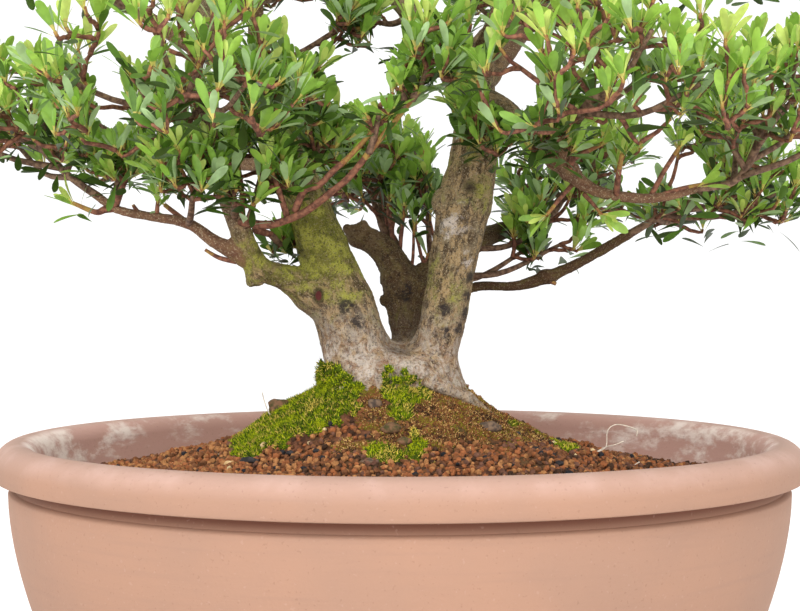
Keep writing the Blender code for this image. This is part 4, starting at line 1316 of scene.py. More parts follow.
def makeBark(routes):
    shape = barkShape
    skins = [trunkSkin()]
    for name, route in routes.items():
        sides = shape["stemSides"] if name in stemRoutes else shape["boughSides"]
        skins.append(tubeSkin(flaredRoute(name, route), sides))
    for root in metres(surfaceRoots):
        skins.append(tubeSkin(smoothRoute(root, shape["rootSteps"]), shape["rootSides"]))
    bark = arrayPiece("bark", *joinSkins(skins), [])
    for middle, half in metres(tuple(barkKnobs.values())):
        bpy.ops.mesh.primitive_ico_sphere_add(subdivisions=3, radius=1.0, location=middle, scale=half)
        knob = bpy.context.object
        makeActive(bark)
        knob.select_set(True)
        bpy.ops.object.join()
    addModifier(bark, "REMESH", mode="VOXEL", voxel_size=shape["voxel"])
    addModifier(bark, "SMOOTH", factor=0.5, iterations=shape["smoothing"])
    # the stems flow together where they leave the foot
    fork = bark.vertex_groups.new(name="fork")
    low, high = shape["forkSpan"]
    for vertex in bark.data.vertices:
        weight = float(smoothstep(1.0 - abs(vertex.co.z - (low + high) / 2) * 2 / (high - low)))
        if weight > 0 and max(abs(vertex.co.x), abs(vertex.co.y)) < shape["forkReach"]:
            fork.add([vertex.index], weight, "REPLACE")
    addModifier(bark, "SMOOTH", factor=0.5, iterations=shape["forkSmoothing"], vertex_group="fork")
    bark.vertex_groups.clear()
    mesh = bark.data
    count = len(mesh.vertices)
    places = np.empty(count * 3, np.float32)
    mesh.vertices.foreach_get("co", places)
    places = places.reshape(-1, 3).astype(float)
    normals = np.empty(count * 3, np.float32)
    mesh.vertex_normals.foreach_get("vector", normals)
    grain, girth = grainOf(places, routes)
    places += normals.reshape(-1, 3) * barkRelief(places, grain, girth)[:, None]
    mesh.vertices.foreach_set("co", places.astype(np.float32).ravel())
    along = mesh.attributes.new("grain", "FLOAT_VECTOR", "POINT")
    along.data.foreach_set("vector", grain.astype(np.float32).ravel())
    thick = mesh.attributes.new("girth", "FLOAT", "POINT")
    thick.data.foreach_set("value", girth.astype(np.float32))
    mesh.shade_smooth()
    mesh.materials.clear()
    mesh.materials.append(barkMaterial())
    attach(bark, "root")
    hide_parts("trunk", *stemRoutes, *boughRoutes)
    print("bark grown,", len(mesh.polygons), "faces")


# foliage: the rule of the solid pads, carried on to fine shoots that each end in a rosette of leaves

# node: the bough that carries it, then in millimetres the middle of its space and its half sizes
pads = {
    "leaves_left_low": ("bough_left_side", (-186, -22, 288), (66, 70, 46)),
    "leaves_left_front": ("bough_left_low", (-98, -112, 294), (80, 70, 54)),
    "leaves_left_back": ("bough_left_back", (-130, 98, 302), (78, 72, 50)),
    "leaves_back_middle": ("bough_back_middle", (-10, 152, 281), (70, 64, 52)),
    "leaves_back_right": ("bough_back_right", (104, 116, 272), (66, 64, 50)),
    "leaves_right_low": ("bough_right_low", (168, 48, 262), (62, 62, 46)),
    "leaves_right_side": ("bough_right_side", (184, -44, 298), (66, 66, 48)),
    "leaves_right_front": ("bough_right_front", (88, -114, 295), (80, 68, 53)),
    "leaves_mid_left": ("bough_mid_left", (-170, 0, 380), (72, 78, 46)),
    "leaves_mid_left_front": ("bough_mid_left_front", (-78, -108, 388), (78, 70, 46)),
    "leaves_mid_left_back": ("bough_mid_left_back", (-86, 110, 386), (76, 70, 46)),
    "leaves_mid_right_back": ("bough_mid_right_back", (76, 108, 376), (76, 70, 48)),
    "leaves_mid_right": ("bough_mid_right", (166, 0, 382), (74, 78, 46)),
    "leaves_mid_right_front": ("bough_mid_right_front", (72, -108, 386), (78, 70, 46)),
    "leaves_top_left": ("stem_left", (-98, 4, 446), (76, 86, 46)),
    "leaves_top_right": ("stem_right", (88, 4, 448), (78, 86, 46)),
    "leaves_top": ("bough_top", (-6, 6, 474), (70, 84, 50)),
}
pads = {pad: (row[0], *metres(row[1:])) for pad, row in pads.items()}
twigRule = {
    "seed": 1907,
    "gap": 0.0003,
    "stemShare": 0.75,
    "stemEnd": 0.0024,
    "stemSink": 0.004,
    "stemBend": 0.4,
    "stemRadii": (0.95, 0.78),
    "twigs": 7,
    "riseSpan": 1.45,
    "turnStray": 0.25,
    "reach": (0.48, 0.60),
    "rootShare": 0.35,
    "sag": 0.10,
    "rootRadius": 0.0017,
    "tipRadius": 0.0011,
    "limbClearance": 0.002,
    "margin": 0.035,
}
shootRule = {
    "shoots": 96,
    "lowShoots": 88,
    "lowBelow": 0.31,
    "tries": 3200,
    "apart": 0.0112,
    "inner": 0.30,
    "lowest": -0.70,
    "leafRoom": 0.0155,
    "rootRadius": 0.0013,
    "tipRadius": 0.0008,
    "kink": 0.0003,
    "bends": (0.36, 0.34),
    "green": 0.70,
    "upward": 1.0,
    "outward": 0.35,
    "onward": 0.25,
    "stray": 0.24,
    "leafReach": 0.008,
    "gapMargin": 0.003,
    "shortest": 0.004,
    "aside": (1.45, 0.75),
    "downhill": 0.8,
    "carrierPull": 0.55,
    "vigour": (0.38, 0.15),
    "sunny": (0.25, 0.25),
    "rearLeafShade": 0.10,
    "rearFrom": 0.03,
    "windowDepth": 0.01,
}
sprayRule = {
    "twigs": 4,
    "sag": 0.12,
    "reach": 0.55,
    "stemRadii": (0.0019, 0.0016, 0.0010),
    "twigRadii": (0.0012, 0.0010, 0.0009),
    "vigour": 0.4,
    "leafReach": 0.008,
    "limbGap": 0.003,
    "apart": 0.0092,
    "depth": 0.9,
    "turn": 1.7,
    "turnStray": 0.3,
    "twigRise": (0.7, 0.35),
    "twigRoots": (0.70, 0.08),
    "gapMargins": (0.005, 0.002),
}
leafRule = {
    "length": (0.0135, 0.0190),
    "slimness": (0.21, 0.28),
    "fold": (0.08, 0.40),
    "curl": (0.09, 0.07),
    "oldCurl": 0.06,
    "roll": 0.22,
    "rosette": (6, 9),
    "youngTilt": (5, 33),
    "tiltStray": 6,
    "youngSpan": 0.0030,
    "lower": (1, 4),
    "lowerTilt": (42, 84),
    "lowerSize": (0.75, 1.05),
    "lowerDrop": (0.0045, 0.0028, 0.0015),
    "turnStray": (0.18, 0.25),
    "opening": 0.9,
    "growth": (0.60, 0.40, 1.7),
    "youngVigour": (0.34, 0.50),
    "lowerVigour": 0.48,
    "toneStray": 0.10,
    "fewest": 4,
    "boxMargin": 0.002,
}
# the least brightness of each tone of leaf, from Bright to Deep; what is darker is Old
toneSteps = ((1, 0.76), (2, 0.48), (3, 0.26), (4, 0.08), (5, -0.14))
# the leaf's outline, root to tip: share of its length, share of its half width
leafOutline = ((0.10, 0.13), (0.30, 0.40), (0.52, 0.80), (0.70, 1.0), (0.87, 0.86), (0.965, 0.46))
leafBaseRows = 2
leafLook = {
    "glow": 1.25,
    "dim": 0.72,
    "through": 0.22,
    "cloudScale": 170.0,
    "roughness": 0.42,
    "specular": 0.45,
}
leafTones = {
    "leafBase": shade(204, 194, 104),
    "leafBright": shade(196, 214, 108),
    "leafFresh": shade(158, 196, 80),
    "leafMid": shade(128, 168, 62),
    # pale grey-green: a painted sheen of white light on the leaves
    "leafGreySheen": shade(160, 188, 130),
    "leafDeep": shade(84, 118, 40),
    "leafOld": shade(52, 74, 22),
}
twigTones = {
    "twigOld": (shade(134, 106, 84), shade(84, 62, 50)),
    "twigRed": (shade(146, 98, 76), shade(92, 58, 46)),
    "twigGreen": (shade(160, 130, 68), shade(136, 90, 58)),
}
oldWood, redWood, greenWood = range(len(twigTones))
# open sky among the leaves, in millimetres on the trunk's plane as the eye sees it: x, z, half width,
# half height
skyGaps = metres((
    (-46.5, 340, 11.5, 12), (-22.5, 319, 8.5, 6.5), (-14.5, 312, 9.5, 8), (-24.5, 308, 5, 4.2),
    (-145.5, 306, 7, 18), (57, 312, 12, 14.5), (49.5, 221, 12, 10), (-6, 337, 7.5, 7), (142.5, 267, 10, 9),
    (60.5, 322, 8, 7), (-130, 331, 5, 7), (-128, 251, 5, 5), (23, 273, 4, 8), (79, 229, 5.5, 5),
    (-75.5, 269, 4.8, 5), (80, 248, 5, 5.2), (15, 295, 5.2, 7.2), (124.5, 267, 4.5, 4.5),
    (40, 335, 4.5, 4.2), (-137.5, 331, 4.8, 5.8), (115, 262, 4.8, 4.8), (22.5, 291, 4, 4.2),
    (-87, 300, 4, 5.2), (128.5, 282, 4.2, 3.4), (21, 349, 3.5, 4), (63, 335, 4.8, 3.4),
    (-5.5, 237, 2.8, 5.5), (128.5, 305, 4, 4), (-113, 250, 4, 4), (80, 239, 5.8, 3.6),
    (-28.5, 240, 2.8, 4.2), (-110, 323, 2.8, 4.5), (18.5, 284, 3.4, 3.2), (14, 232, 2.6, 4),
    (128.5, 293, 3.6, 4),
))
# what stays clear of leaves in front of the stems: x, z, half width, half height
trunkWindow = metres((
    (-18, 225, 30, 43), (33, 230, 20, 43), (9, 220, 24, 40),
))
# shoots picked out one by one, in millimetres: x and z on the plane of the trunk, true depth, radius
seenShoots = {
    "leftFork": (
        (-143.7, 248.4, -28, 2.1), (-148, 247.6, -30, 1.8), (-152.7, 246.4, -32, 1.4), (-164, 251, -36, 1),
    ),
    "leftUp": ((-142.7, 248.9, -28, 1.9), (-138.2, 261.4, -36, 1.5), (-135.7, 267.4, -40, 1.1)),
    "leftDark": ((-105.1, 239.9, -26, 1.5), (-117.7, 249.9, -18, 1.1)),
    "leftBud": ((-131.7, 246.9, -28, 1.2), (-133.7, 250, -28, 0.8)),
    "leftSpike": ((-121.7, 245.9, -28, 1.2), (-121.2, 253, -32, 0.8)),
    "upturned": ((-82, 221.5, -22, 1.3), (-90.5, 223.5, -20, 1.1), (-97.6, 227.5, -20, 0.8)),
    "pinkLimb": (
        (-81.6, 241.9, -32, 2.2), (-67.6, 239.9, -42, 2.1), (-56.6, 242.4, -50, 1.9),
        (-46.1, 247.4, -56, 1.8), (-35, 255.9, -62, 1.7), (-25, 264.4, -68, 1.6), (-12.5, 280, -76, 1.4),
        (0, 295, -84, 1.2), (9.5, 307.5, -92, 1),
    ),
    "pinkUp": ((-56.6, 244.4, -50, 1.6), (-62.1, 261.4, -58, 1.3), (-66.1, 269.4, -64, 1)),
    "pinkSide": (
        (-52.6, 247, -52, 1.8), (-48, 257, -58, 1.7), (-40.6, 259.9, -62, 1.6), (-32.5, 267.9, -66, 1.5),
        (-25, 274.5, -70, 1.3), (-7.5, 293.5, -78, 1),
    ),
    "upLeft": ((-78.6, 244, -34, 1.3), (-79.6, 261.4, -44, 1.1), (-82.1, 274.5, -52, 0.9)),
    "redBehind": (
        (-72.6, 237.4, -18, 1.8), (-64, 235, -6, 1.7), (-54.1, 231.4, 6, 1.5), (-43, 227, 12, 1.2),
    ),
    "knotUp": (
        (87.1, 264.4, -34, 1.8), (86.1, 272, -42, 1.5), (93, 276.5, -46, 1.3), (101.6, 281, -50, 1.2),
    ),
    "knotDown": ((86.6, 260.4, -34, 1.2), (80, 253, -42, 1), (73.1, 244.4, -48, 0.8)),
    "knotDownRight": ((92.1, 255.4, -38, 1.1), (97, 250, -44, 0.9), (101.1, 244.9, -48, 0.8)),
    "blurUp": ((108.2, 253.4, -40, 1.7), (109.2, 264, -52, 1.4), (111.2, 275.5, -62, 1.1)),
    "farUp": (
        (125.7, 254.5, -41, 1.4), (131.7, 265.9, -46, 1.2), (136.7, 274, -50, 1.1),
        (140.2, 279.5, -54, 0.9),
    ),
    "farSide": ((128.2, 254, -41, 1.2), (140, 258, -44, 1), (151.2, 260.4, -46, 0.8)),
    "backSpur": ((69.6, 213.9, 43, 1.4), (78.1, 210.4, 40, 1)),
}
bareShoots = ("backSpur", "redBehind", "leftBud", "upturned")
seenRule = {"lift": 0.5, "vigour": 0.6, "leafSize": 0.9}
# thin shoots that stand up from the boughs behind the fork: bough, span along it, how many, heights
rearFans = (
    ("bough_back_middle", (0.05, 0.60), 7, (0.020, 0.042)),
    ("bough_back_right", (0.04, 0.55), 7, (0.016, 0.036)),
)
fanRule = {
    "spread": ((-0.006, 0.006), (-0.008, 0.004)),
    "radii": (0.0011, 0.0007),
    "stray": 0.15,
    "vigour": 0.15,
    "leafSize": 0.9,
}
# sprays from the limbs themselves, between the pads: the limb, how far along it they start, then in
# millimetres the middle and half size on the plane of the trunk and the middle's true depth, and how
# many shoots
innerSprays = {
    "leftFrontLow": ("bough_left_side", 0.4, (-103, 266), (22, 16), -70, 22),
    "leftFar": ("bough_left_side", 0.85, (-140, 270), (20, 14), -34, 16),
    "leftTwigs": ("bough_left_low", 0.55, (-70, 264), (22, 13), -48, 14),
    "limbTop": ("pinkLimb", 0.9, (2.5, 316), (9, 15), -90, 9),
    "knotFront": ("bough_right_side", 0.3, (74, 283), (18, 12), -64, 12),
    "elbowFront": ("bough_left_low", 0.62, (-83, 256), (12, 10), -60, 9),
    "frontLeft": ("stem_left", 0.58, (-57.5, 307.5), (26, 28), -60, 34),
    "leftLow": ("stem_left", 0.45, (-76, 279), (20, 18), -34, 18),
    "leftStem": ("stem_left", 0.46, (-40, 282), (16, 18), -40, 14),
    "limbEnd": ("pinkLimb", 0.95, (15, 324), (18, 22), -98, 16),
    "limbMiddle": ("pinkLimb", 0.72, (-10, 299), (12, 12), -84, 6),
    "midHigh": ("stem_left", 0.7, (-28, 340), (20, 13), -20, 14),
    "rightFront": ("stem_right", 0.52, (43, 288), (19, 19), -42, 22),
    "rightUpper": ("bough_right_side", 0.22, (72, 297), (21, 20), -46, 22),
    "rightTop": ("stem_right", 0.66, (36, 327), (16, 18), -32, 12),
    "rearMiddle": ("bough_back_middle", 0.45, (-17, 265), (24, 26), 64, 32),
    "rearRight": ("bough_back_right", 0.3, (13, 258), (14, 22), 56, 16),
    "crossing": ("bough_top", 0.4, (-14, 342), (12, 9), -12, 8),
    "crossLow": ("bough_top", 0.2, (2, 330), (10, 8), -20, 7),
    "rearFar": ("bough_back_right", 0.55, (76, 242), (24, 14), 52, 16),
    "rearLow": ("bough_back_right", 0.2, (65, 229), (18, 11), 50, 14),
    "rearHang": ("bough_back_right", 0.3, (80, 230), (12, 10), 46, 8),
    "behindLeft": ("redBehind", 0.3, (-56, 230), (10, 7), 4, 6),
}


def sightPlace(place):
    # where the line from the eye through a place meets the trunk's plane
    eye = Vector(stageLook["cameraPlace"])
    share = (0.0 - eye.y) / (place.y - eye.y)
    return place.x * share, eye.z + (place.z - eye.z) * share


def trueRow(row):
    # a place seen on the trunk's plane, moved along the line of sight to its depth
    x, z, depth, radius = row
    eye = stageLook["cameraPlace"]
    share = (depth - eye[1]) / (0.0 - eye[1])
    return (x * share, depth, eye[2] + (z - eye[2]) * share, radius)


def inOpening(place, openings, widen=0.0):
    x, z = sightPlace(place)
    return any(((x - midX) / (wide + widen)) ** 2 + ((z - midZ) / (tall + widen)) ** 2 < 1.0
               for midX, midZ, wide, tall in openings)


def depthInPad(pad, place):
    _, middle, half = pads[pad]
    return math.sqrt(sum(((place[axis] - middle[axis]) / half[axis]) ** 2 for axis in range(3)))


def isFree(pad, places, limbPoints):
    for place in places:
        depth = depthInPad(pad, place)
        if depth > 1.0:
            return False
        if any(depthInPad(other, place) < depth + twigRule["margin"] for other in pads if other != pad):
            return False
        if any((place - spot).length < radius + twigRule["limbClearance"] for spot, radius in limbPoints):
            return False
    return True


def padStem(pad, routes):
    rule = twigRule
    carrier, middle, _ = pads[pad]
    tip, tipRadius = routes[carrier][-1]
    ahead = (tip - routes[carrier][-2][0]).normalized()
    start = tip + ahead * rule["gap"]
    heart = start.lerp(Vector(middle), rule["stemShare"])
    bend = start + ahead * (heart - start).length * rule["stemBend"]
    rootShare, bendShare = rule["stemRadii"]
    return smoothRoute(((*(tip - ahead * rule["stemSink"]), tipRadius * rootShare),
                        (*bend, tipRadius * bendShare), (*heart, rule["stemEnd"])), 6)


def padTwig(pad, stemRoute, number, chance):
    rule = twigRule
    _, middle, half = pads[pad]
    rise = 1.0 - rule["riseSpan"] * (number + 0.5) / rule["twigs"]
    turn = number * goldenAngle + chance.uniform(-rule["turnStray"], rule["turnStray"])
    level = math.sqrt(1.0 - rise * rise)
    outward = (level * math.cos(turn), level * math.sin(turn), rise)
    reach = chance.uniform(*rule["reach"])
    tip = Vector([middle[axis] + outward[axis] * half[axis] * reach for axis in range(3)])
    height = (rule["twigs"] - number) / (rule["twigs"] + 1)
    root = routePlace(stemRoute, rule["rootShare"] + (1.0 - rule["rootShare"]) * height)
    bend = root.lerp(tip, 0.5) - upward * rule["sag"] * (tip - root).length
    middleRadius = (rule["rootRadius"] + rule["tipRadius"]) / 2
    return [(*root, rule["rootRadius"]), (*bend, middleRadius), (*tip, rule["tipRadius"])]


def curvedShoot(root, heading, tip, tipHeading, radii, chance, steps=6):
    # a shoot leaves along its carrier, bends over and ends looking up and out
    span = (tip - root).length
    leaving, ending = shootRule["bends"]
    first = root + heading * span * leaving
    second = tip - tipHeading * span * ending
    places = []
    for step in range(steps + 1):
        t = step / steps
        place = (root * (1 - t) ** 3 + first * 3 * t * (1 - t) ** 2
                 + second * 3 * t * t * (1 - t) + tip * t ** 3)
        if 0 < step < steps:
            place = place + Vector([chance.gauss(0, shootRule["kink"]) for _ in range(3)])
        places.append((place, radii[0] + (radii[1] - radii[0]) * t))
    return places


class Growth:
    # wood and leaves of one mass as they grow
    def __init__(self):
        self.tubes = []
        self.leaves = []
        self.nodes = []

    def addRoute(self, route, tone, sides, first=0.0):
        self.tubes.append((route, tone, sides))
        for number in range(1, len(route)):
            place, last = route[number][0], route[number - 1][0]
            if number / (len(route) - 1) >= first:
                self.nodes.append((place, (place - last).normalized()))

    def addRosette(self, tip, axis, vigour, chance, size=1.0):
        # a goblet of young leaves that stand up, with a few older ones spread below;
        # one that open sky would strip is left out
        rule = leafRule
        before = len(self.leaves)
        side = axis.orthogonal().normalized()
        beside = axis.cross(side)
        turn = chance.uniform(0, 2 * math.pi)
        count = chance.randint(*rule["rosette"])
        steep, spread = rule["youngTilt"]
        youngStray, lowerStray = rule["turnStray"]
        least, more, ripening = rule["growth"]
        bright, fading = rule["youngVigour"]
        for number in range(count):
            share = (number + 0.5) / count
            turn += goldenAngle + chance.gauss(0, youngStray)
            opened = steep + spread * share ** rule["opening"]
            tilt = math.radians(opened + chance.gauss(0, rule["tiltStray"]))
            long = chance.uniform(*rule["length"]) * size * (least + more * min(1.0, share * ripening))
            tone = self.toneOf(vigour + bright - fading * share, chance)
            root = tip - axis * (0.0002 + rule["youngSpan"] * share)
            self.addLeaf(root, axis, side, beside, turn, tilt, long, tone, True, chance)
        drop, apart, stray = rule["lowerDrop"]
        for number in range(chance.randint(*rule["lower"])):
            turn += goldenAngle + chance.gauss(0, lowerStray)
            tilt = math.radians(chance.uniform(*rule["lowerTilt"]))
            long = chance.uniform(*rule["length"]) * size * chance.uniform(*rule["lowerSize"])
            tone = self.toneOf(vigour - rule["lowerVigour"], chance)
            root = tip - axis * (drop + apart * number + chance.uniform(0, stray))
            self.addLeaf(root, axis, side, beside, turn, tilt, long, tone, False, chance)
        full = len(self.leaves) - before >= rule["fewest"]
        if not full:
            del self.leaves[before:]
        return full

    def toneOf(self, value, chance):
        value += chance.gauss(0, leafRule["toneStray"])
        for tone, least in toneSteps:
            if value > least:
                return tone
        return 6

    def addLeaf(self, root, axis, side, beside, turn, tilt, long, tone, young, chance):
        out = side * math.cos(turn) + beside * math.sin(turn)
        ahead = axis * math.cos(tilt) + out * math.sin(tilt)
        face = axis * math.sin(tilt) - out * math.cos(tilt)
        roll = chance.gauss(0, leafRule["roll"])
        across = ahead.cross(face)
        face = face * math.cos(roll) + across * math.sin(roll)
        slim = chance.uniform(*leafRule["slimness"]) / 2
        curl = chance.gauss(*leafRule["curl"]) + (0.0 if young else leafRule["oldCurl"])
        fold = chance.uniform(*leafRule["fold"])
        places = [root + ahead * long * share for share in (0.15, 0.55, 1.0)]
        margin = leafRule["boxMargin"]
        within = all(low + margin < reach < high - margin
                     for low, reach, high in zip(cadBox[0], places[-1], cadBox[1]))
        if within and all(not inOpening(place, skyGaps) for place in places):
            self.leaves.append((*root, *ahead, *face, long, slim, fold, curl, tone, 0 if young else tone))


def growPad(pad, routes, limbPoints, chance):
    # stem and twigs as in the solid, then shoots towards places spread through the pad's space
    growth = Growth()
    stemRoute = padStem(pad, routes)
    growth.addRoute(stemRoute, oldWood, 9, 0.4)
    for number in range(twigRule["twigs"]):
        spine = padTwig(pad, stemRoute, number, chance)
        tip = Vector(spine[-1][:3])
        free = isFree(pad, [Vector(row[:3]) for row in spine[1:]], limbPoints)
        if free and not inOpening(tip, skyGaps, 0.004):
            growth.addRoute(smoothRoute(spine, 4), oldWood, 6, 0.25)
    _, middle, half = pads[pad]
    wanted = shootRule["lowShoots"] if middle[2] < shootRule["lowBelow"] else shootRule["shoots"]
    growShoots(growth, Vector(middle), half, wanted, lambda spot: isFree(pad, [spot], limbPoints), chance)
    return growth


def tapered(places, radii, steps):
    return smoothRoute([(*place, radius) for place, radius in zip(places, radii)], steps)


def growSpray(spray, carriers, limbPoints, chance):
    # a slim branch from a limb to the middle of a small space, a few twigs, and shoots
    rule = sprayRule
    carrier, along, sight, size, depth, wanted = innerSprays[spray]
    (x, z), (wide, tall), depth = metres((sight, size, depth))
    middle = Vector(trueRow((x, z, depth, 0.0))[:3])
    share = middle.y / stageLook["cameraPlace"][1]
    half = (wide * (1 - share), max(wide, tall) * rule["depth"], tall * (1 - share))
    growth = Growth()
    start = routePlace(carriers[carrier], along)
    bend = start.lerp(middle, 0.5) - upward * rule["sag"] * (middle - start).length
    stem = tapered((start, bend, middle), rule["stemRadii"], 6)
    growth.addRoute(stem, oldWood, 7, 0.45)
    growth.addRosette(middle, upward, rule["vigour"], chance)
    rise, fall = rule["twigRise"]
    firstRoot, rootStep = rule["twigRoots"]
    tipMargin, leafMargin = rule["gapMargins"]
    for number in range(rule["twigs"]):
        turn = number * goldenAngle * rule["turn"] + chance.uniform(-rule["turnStray"], rule["turnStray"])
        level = (math.cos(turn) * half[0], math.sin(turn) * half[1])
        out = Vector((*level, half[2] * (rise - fall * number)))
        out *= rule["reach"]
        tip = middle + out
        leafTip = tip + upward * rule["leafReach"]
        if inOpening(tip, skyGaps, tipMargin) or inOpening(leafTip, skyGaps, leafMargin):
            continue
        root = routePlace(stem, firstRoot + rootStep * number)
        if growth.addRosette(tip, (out.normalized() + upward * 2).normalized(), rule["vigour"], chance):
            twig = tapered((root, root.lerp(tip, 0.5), tip), rule["twigRadii"], 4)
            growth.addRoute(twig, redWood, 6, 0.3)

    def isOpen(spot):
        gap = twigRule["limbClearance"] + rule["limbGap"]
        return all((spot - place).length > radius + gap for place, radius in limbPoints)

    growShoots(growth, middle, half, wanted, isOpen, chance, rule["apart"], 0.0)
    return growth


def growShoots(growth, middle, half, wanted, isOpen, chance, apart=None, leafRoom=None):
    # shoots towards places spread through a space, each from the nearest wood that suits it
    rule = shootRule
    room = [axis - (rule["leafRoom"] if leafRoom is None else leafRoom) for axis in half]
    targets = []
    for _ in range(rule["tries"]):
        if len(targets) >= wanted:
            break
        rise = chance.uniform(rule["lowest"], 1.0)
        turn = chance.uniform(0, 2 * math.pi)
        level = math.sqrt(1 - rise * rise)
        out = Vector((level * math.cos(turn), level * math.sin(turn), rise))
        share = rule["inner"] + (1 - rule["inner"]) * math.sqrt(chance.random())
        spot = middle + Vector([out[axis] * room[axis] * share for axis in range(3)])
        if any((spot - other[0]).length < (apart or rule["apart"]) for other in targets):
            continue
        if not isOpen(spot) or inOpening(spot, skyGaps, rule["gapMargin"]):
            continue
        if inOpening(spot + upward * rule["leafReach"], skyGaps):
            continue
        if spot.y < rule["windowDepth"] and inOpening(spot, trunkWindow):
            continue
        normal = Vector([out[axis] / half[axis] for axis in range(3)]).normalized()
        targets.append((spot, normal, share))
    start = growth.nodes[0][0]
    targets.sort(key=lambda row: (row[0] - start).length)
    aside, onward = rule["aside"]
    vigourMiddle, vigourStray = rule["vigour"]
    rising, outer = rule["sunny"]
    for spot, normal, share in targets:
        best, carrier = None, None
        for place, heading in growth.nodes:
            away = spot - place
            span = away.length
            if span < rule["shortest"]:
                continue
            cost = span * (aside - onward * heading.dot(away) / span)
            cost += max(0.0, place.z - spot.z) * rule["downhill"]
            if best is None or cost < best:
                best, carrier = cost, (place, heading)
        root, heading = carrier
        toward = (spot - root).normalized()
        heading = (heading * rule["carrierPull"] + toward).normalized()
        stray = Vector([chance.gauss(0, rule["stray"]) for _ in range(3)])
        axis = upward * rule["upward"] + normal * rule["outward"] + toward * rule["onward"] + stray
        axis.normalize()
        vigour = vigourMiddle + rising * normal.z + outer * (share - 0.7) + chance.gauss(0, vigourStray)
        # painted shade: shoots low at the back take darker leaf tones
        vigour -= rule["rearLeafShade"] * float(spot.y > rule["rearFrom"] and spot.z < rule["lowBelow"])
        route = curvedShoot(root, heading, spot, axis, (rule["rootRadius"], rule["tipRadius"]), chance)
        if growth.addRosette(spot, axis, vigour, chance):
            growth.addRoute(route, redWood, 5, 0.3)


def leafShape():
    # faces of a leaf of three columns of corners, root to tip, with the faces of its base marked
    faces, isBase = [(0, 1, 2), (0, 2, 3)], [True, True]
    for row in range(len(leafOutline) - 1):
        for column in range(2):
            here = 1 + row * 3 + column
            faces.append((here, here + 3, here + 4, here + 1))
            isBase.append(row + 1 < leafBaseRows)
    here, tip = 1 + (len(leafOutline) - 1) * 3, 1 + len(leafOutline) * 3
    faces += [(here, tip, here + 1), (here + 1, tip, here + 2)]
    isBase += [False, False]
    return faces, np.array(isBase)


def leafSkin(leaves):
    rows = np.array(leaves)
    root, ahead, face = rows[:, 0:3], rows[:, 3:6], rows[:, 6:9]
    long, slim, fold, curl, tone, baseTone = rows[:, 9:15].T
    beside = unit(np.cross(ahead, face))
    faces, isBase = leafShape()
    points = [np.zeros((len(rows), 3))]
    for share, width in leafOutline:
        for column in (-1.0, 0.0, 1.0):
            reach = column * width * slim
            lift = np.abs(reach) * np.sin(fold) - curl * share ** 2
            points.append(np.stack([reach * np.cos(fold), np.full(len(rows), share), lift], axis=-1))
    points.append(np.stack([np.zeros(len(rows)), np.ones(len(rows)), -curl], axis=-1))
    shaped = np.stack(points, axis=1)
    frames = np.stack([beside, ahead, unit(np.cross(beside, ahead))], axis=1)
    sizes = np.repeat(long[:, None], 3, axis=1)
    points, corners, counts = copiesOf(shaped, faces, root, frames, sizes)
    tones = np.where(isBase[None, :], baseTone[:, None].astype(int), tone[:, None].astype(int)).ravel()
    return points, corners, counts, tones


def leafMaterial(name, colour):
    look = leafLook
    material, wire = newMaterial(name)
    glow = tuple(min(1.0, value * look["glow"]) for value in colour[:3]) + (1.0,)
    dim = tuple(value * look["dim"] for value in colour[:3]) + (1.0,)
    cloud = wire.noise(wire.node("TexCoord", take="Object"), look["cloudScale"], 2.0)
    colour = wire.mix(cloud.step(0.35, 0.62), dim, colour)
    finishSurface(wire, through=(look["through"], glow), colour=colour, roughness=look["roughness"],
                  specular=look["specular"])
    return material


def makeTwigs(name, tubes, materials):
    skins = [tubeSkin(route, sides) for route, tone, sides in tubes]
    tones = []
    for route, tone, sides in tubes:
        # the last stretch of a shoot is still green
        rings = np.arange(len(route) - 1) / max(1, len(route) - 1)
        ringTones = np.where((rings >= shootRule["green"]) & (tone == redWood), greenWood, tone)
        tones.append(np.concatenate([np.repeat(ringTones, sides), [ringTones[0], ringTones[-1]]]))
    twigs = arrayPiece(name, *joinSkins(skins), materials, np.concatenate(tones))
    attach(twigs, "root")


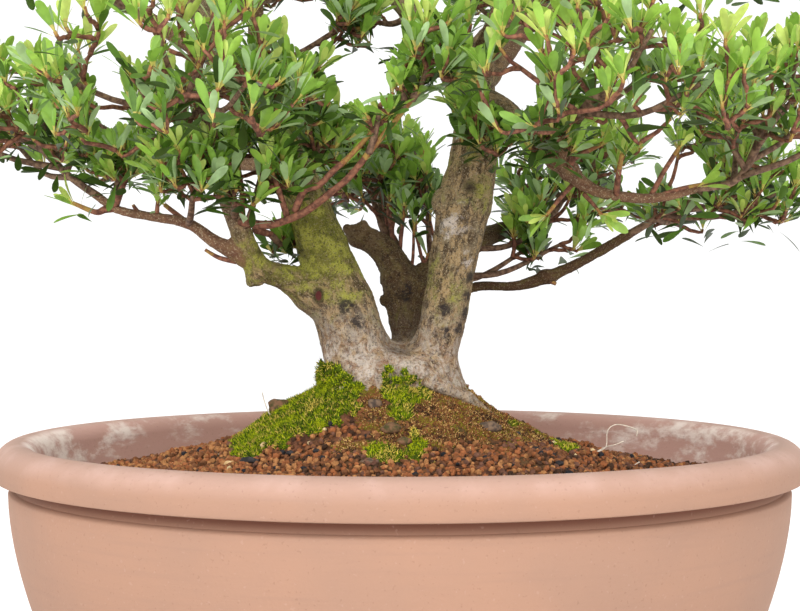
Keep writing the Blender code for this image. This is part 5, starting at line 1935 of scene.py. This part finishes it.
def makeLeaves(name, growth, materials):
    points, corners, sizes, tones = leafSkin(growth.leaves)
    leaves = arrayPiece(name, points, corners, sizes, materials, tones)
    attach(leaves, "root")
    return leaves


def makeFoliage(routes):
    chance = random.Random(twigRule["seed"])
    limbPoints = [place for route in routes.values() for place in route[:-2]]
    twigMaterials = [plainMaterial(name, light, 0.8, 0.25, 0.3, 420.0, dark)
                     for name, (light, dark) in twigTones.items()]
    leafMaterials = [leafMaterial(name, colour) for name, colour in leafTones.items()]
    tubes, total = [], 0
    for pad in pads:
        growth = growPad(pad, routes, limbPoints, chance)
        first, *others = pad.split("_")
        leaves = makeLeaves(first + "".join(word.capitalize() for word in others), growth, leafMaterials)
        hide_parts(pad)
        tubes += growth.tubes
        total += len(growth.leaves)
    carriers = dict(routes)
    inner, seen, fan = Growth(), seenRule, fanRule
    for name, rows in seenShoots.items():
        route = smoothRoute([trueRow(row) for row in metres(rows)], 5)
        carriers[name] = route
        inner.addRoute(route, redWood, 8)
        heading = (route[-1][0] - route[-2][0]).normalized()
        if name not in bareShoots:
            axis = (heading + upward * seen["lift"]).normalized()
            inner.addRosette(route[-1][0], axis, seen["vigour"], chance, seen["leafSize"])
    for name, (first, last), count, heights in rearFans:
        for number in range(count):
            root = routePlace(carriers[name], first + (last - first) * (number + 0.5) / count)
            tip = root + Vector([chance.uniform(*span) for span in (*fan["spread"], heights)])
            axis = (upward + Vector([chance.gauss(0, fan["stray"]) for _ in range(3)])).normalized()
            shoot = curvedShoot(root, upward, tip, axis, fan["radii"], chance)
            inner.addRoute(shoot, redWood, 5)
            inner.addRosette(tip, axis, fan["vigour"], chance, fan["leafSize"])
    for spray in innerSprays:
        growth = growSpray(spray, carriers, limbPoints, chance)
        inner.tubes += growth.tubes
        inner.leaves += growth.leaves
    makeLeaves("leavesInner", inner, leafMaterials)
    tubes += inner.tubes
    total += len(inner.leaves)
    makeTwigs("twigs", tubes, twigMaterials)
    print("foliage grown,", total, "leaves on", len(tubes), "twigs")


makeStage()
makePot()
makeSoil()
makeGrains()
makeMoss()
makeLitter()
limbs = limbRoutes()
makeBark(limbs)
makeFoliage(limbs)
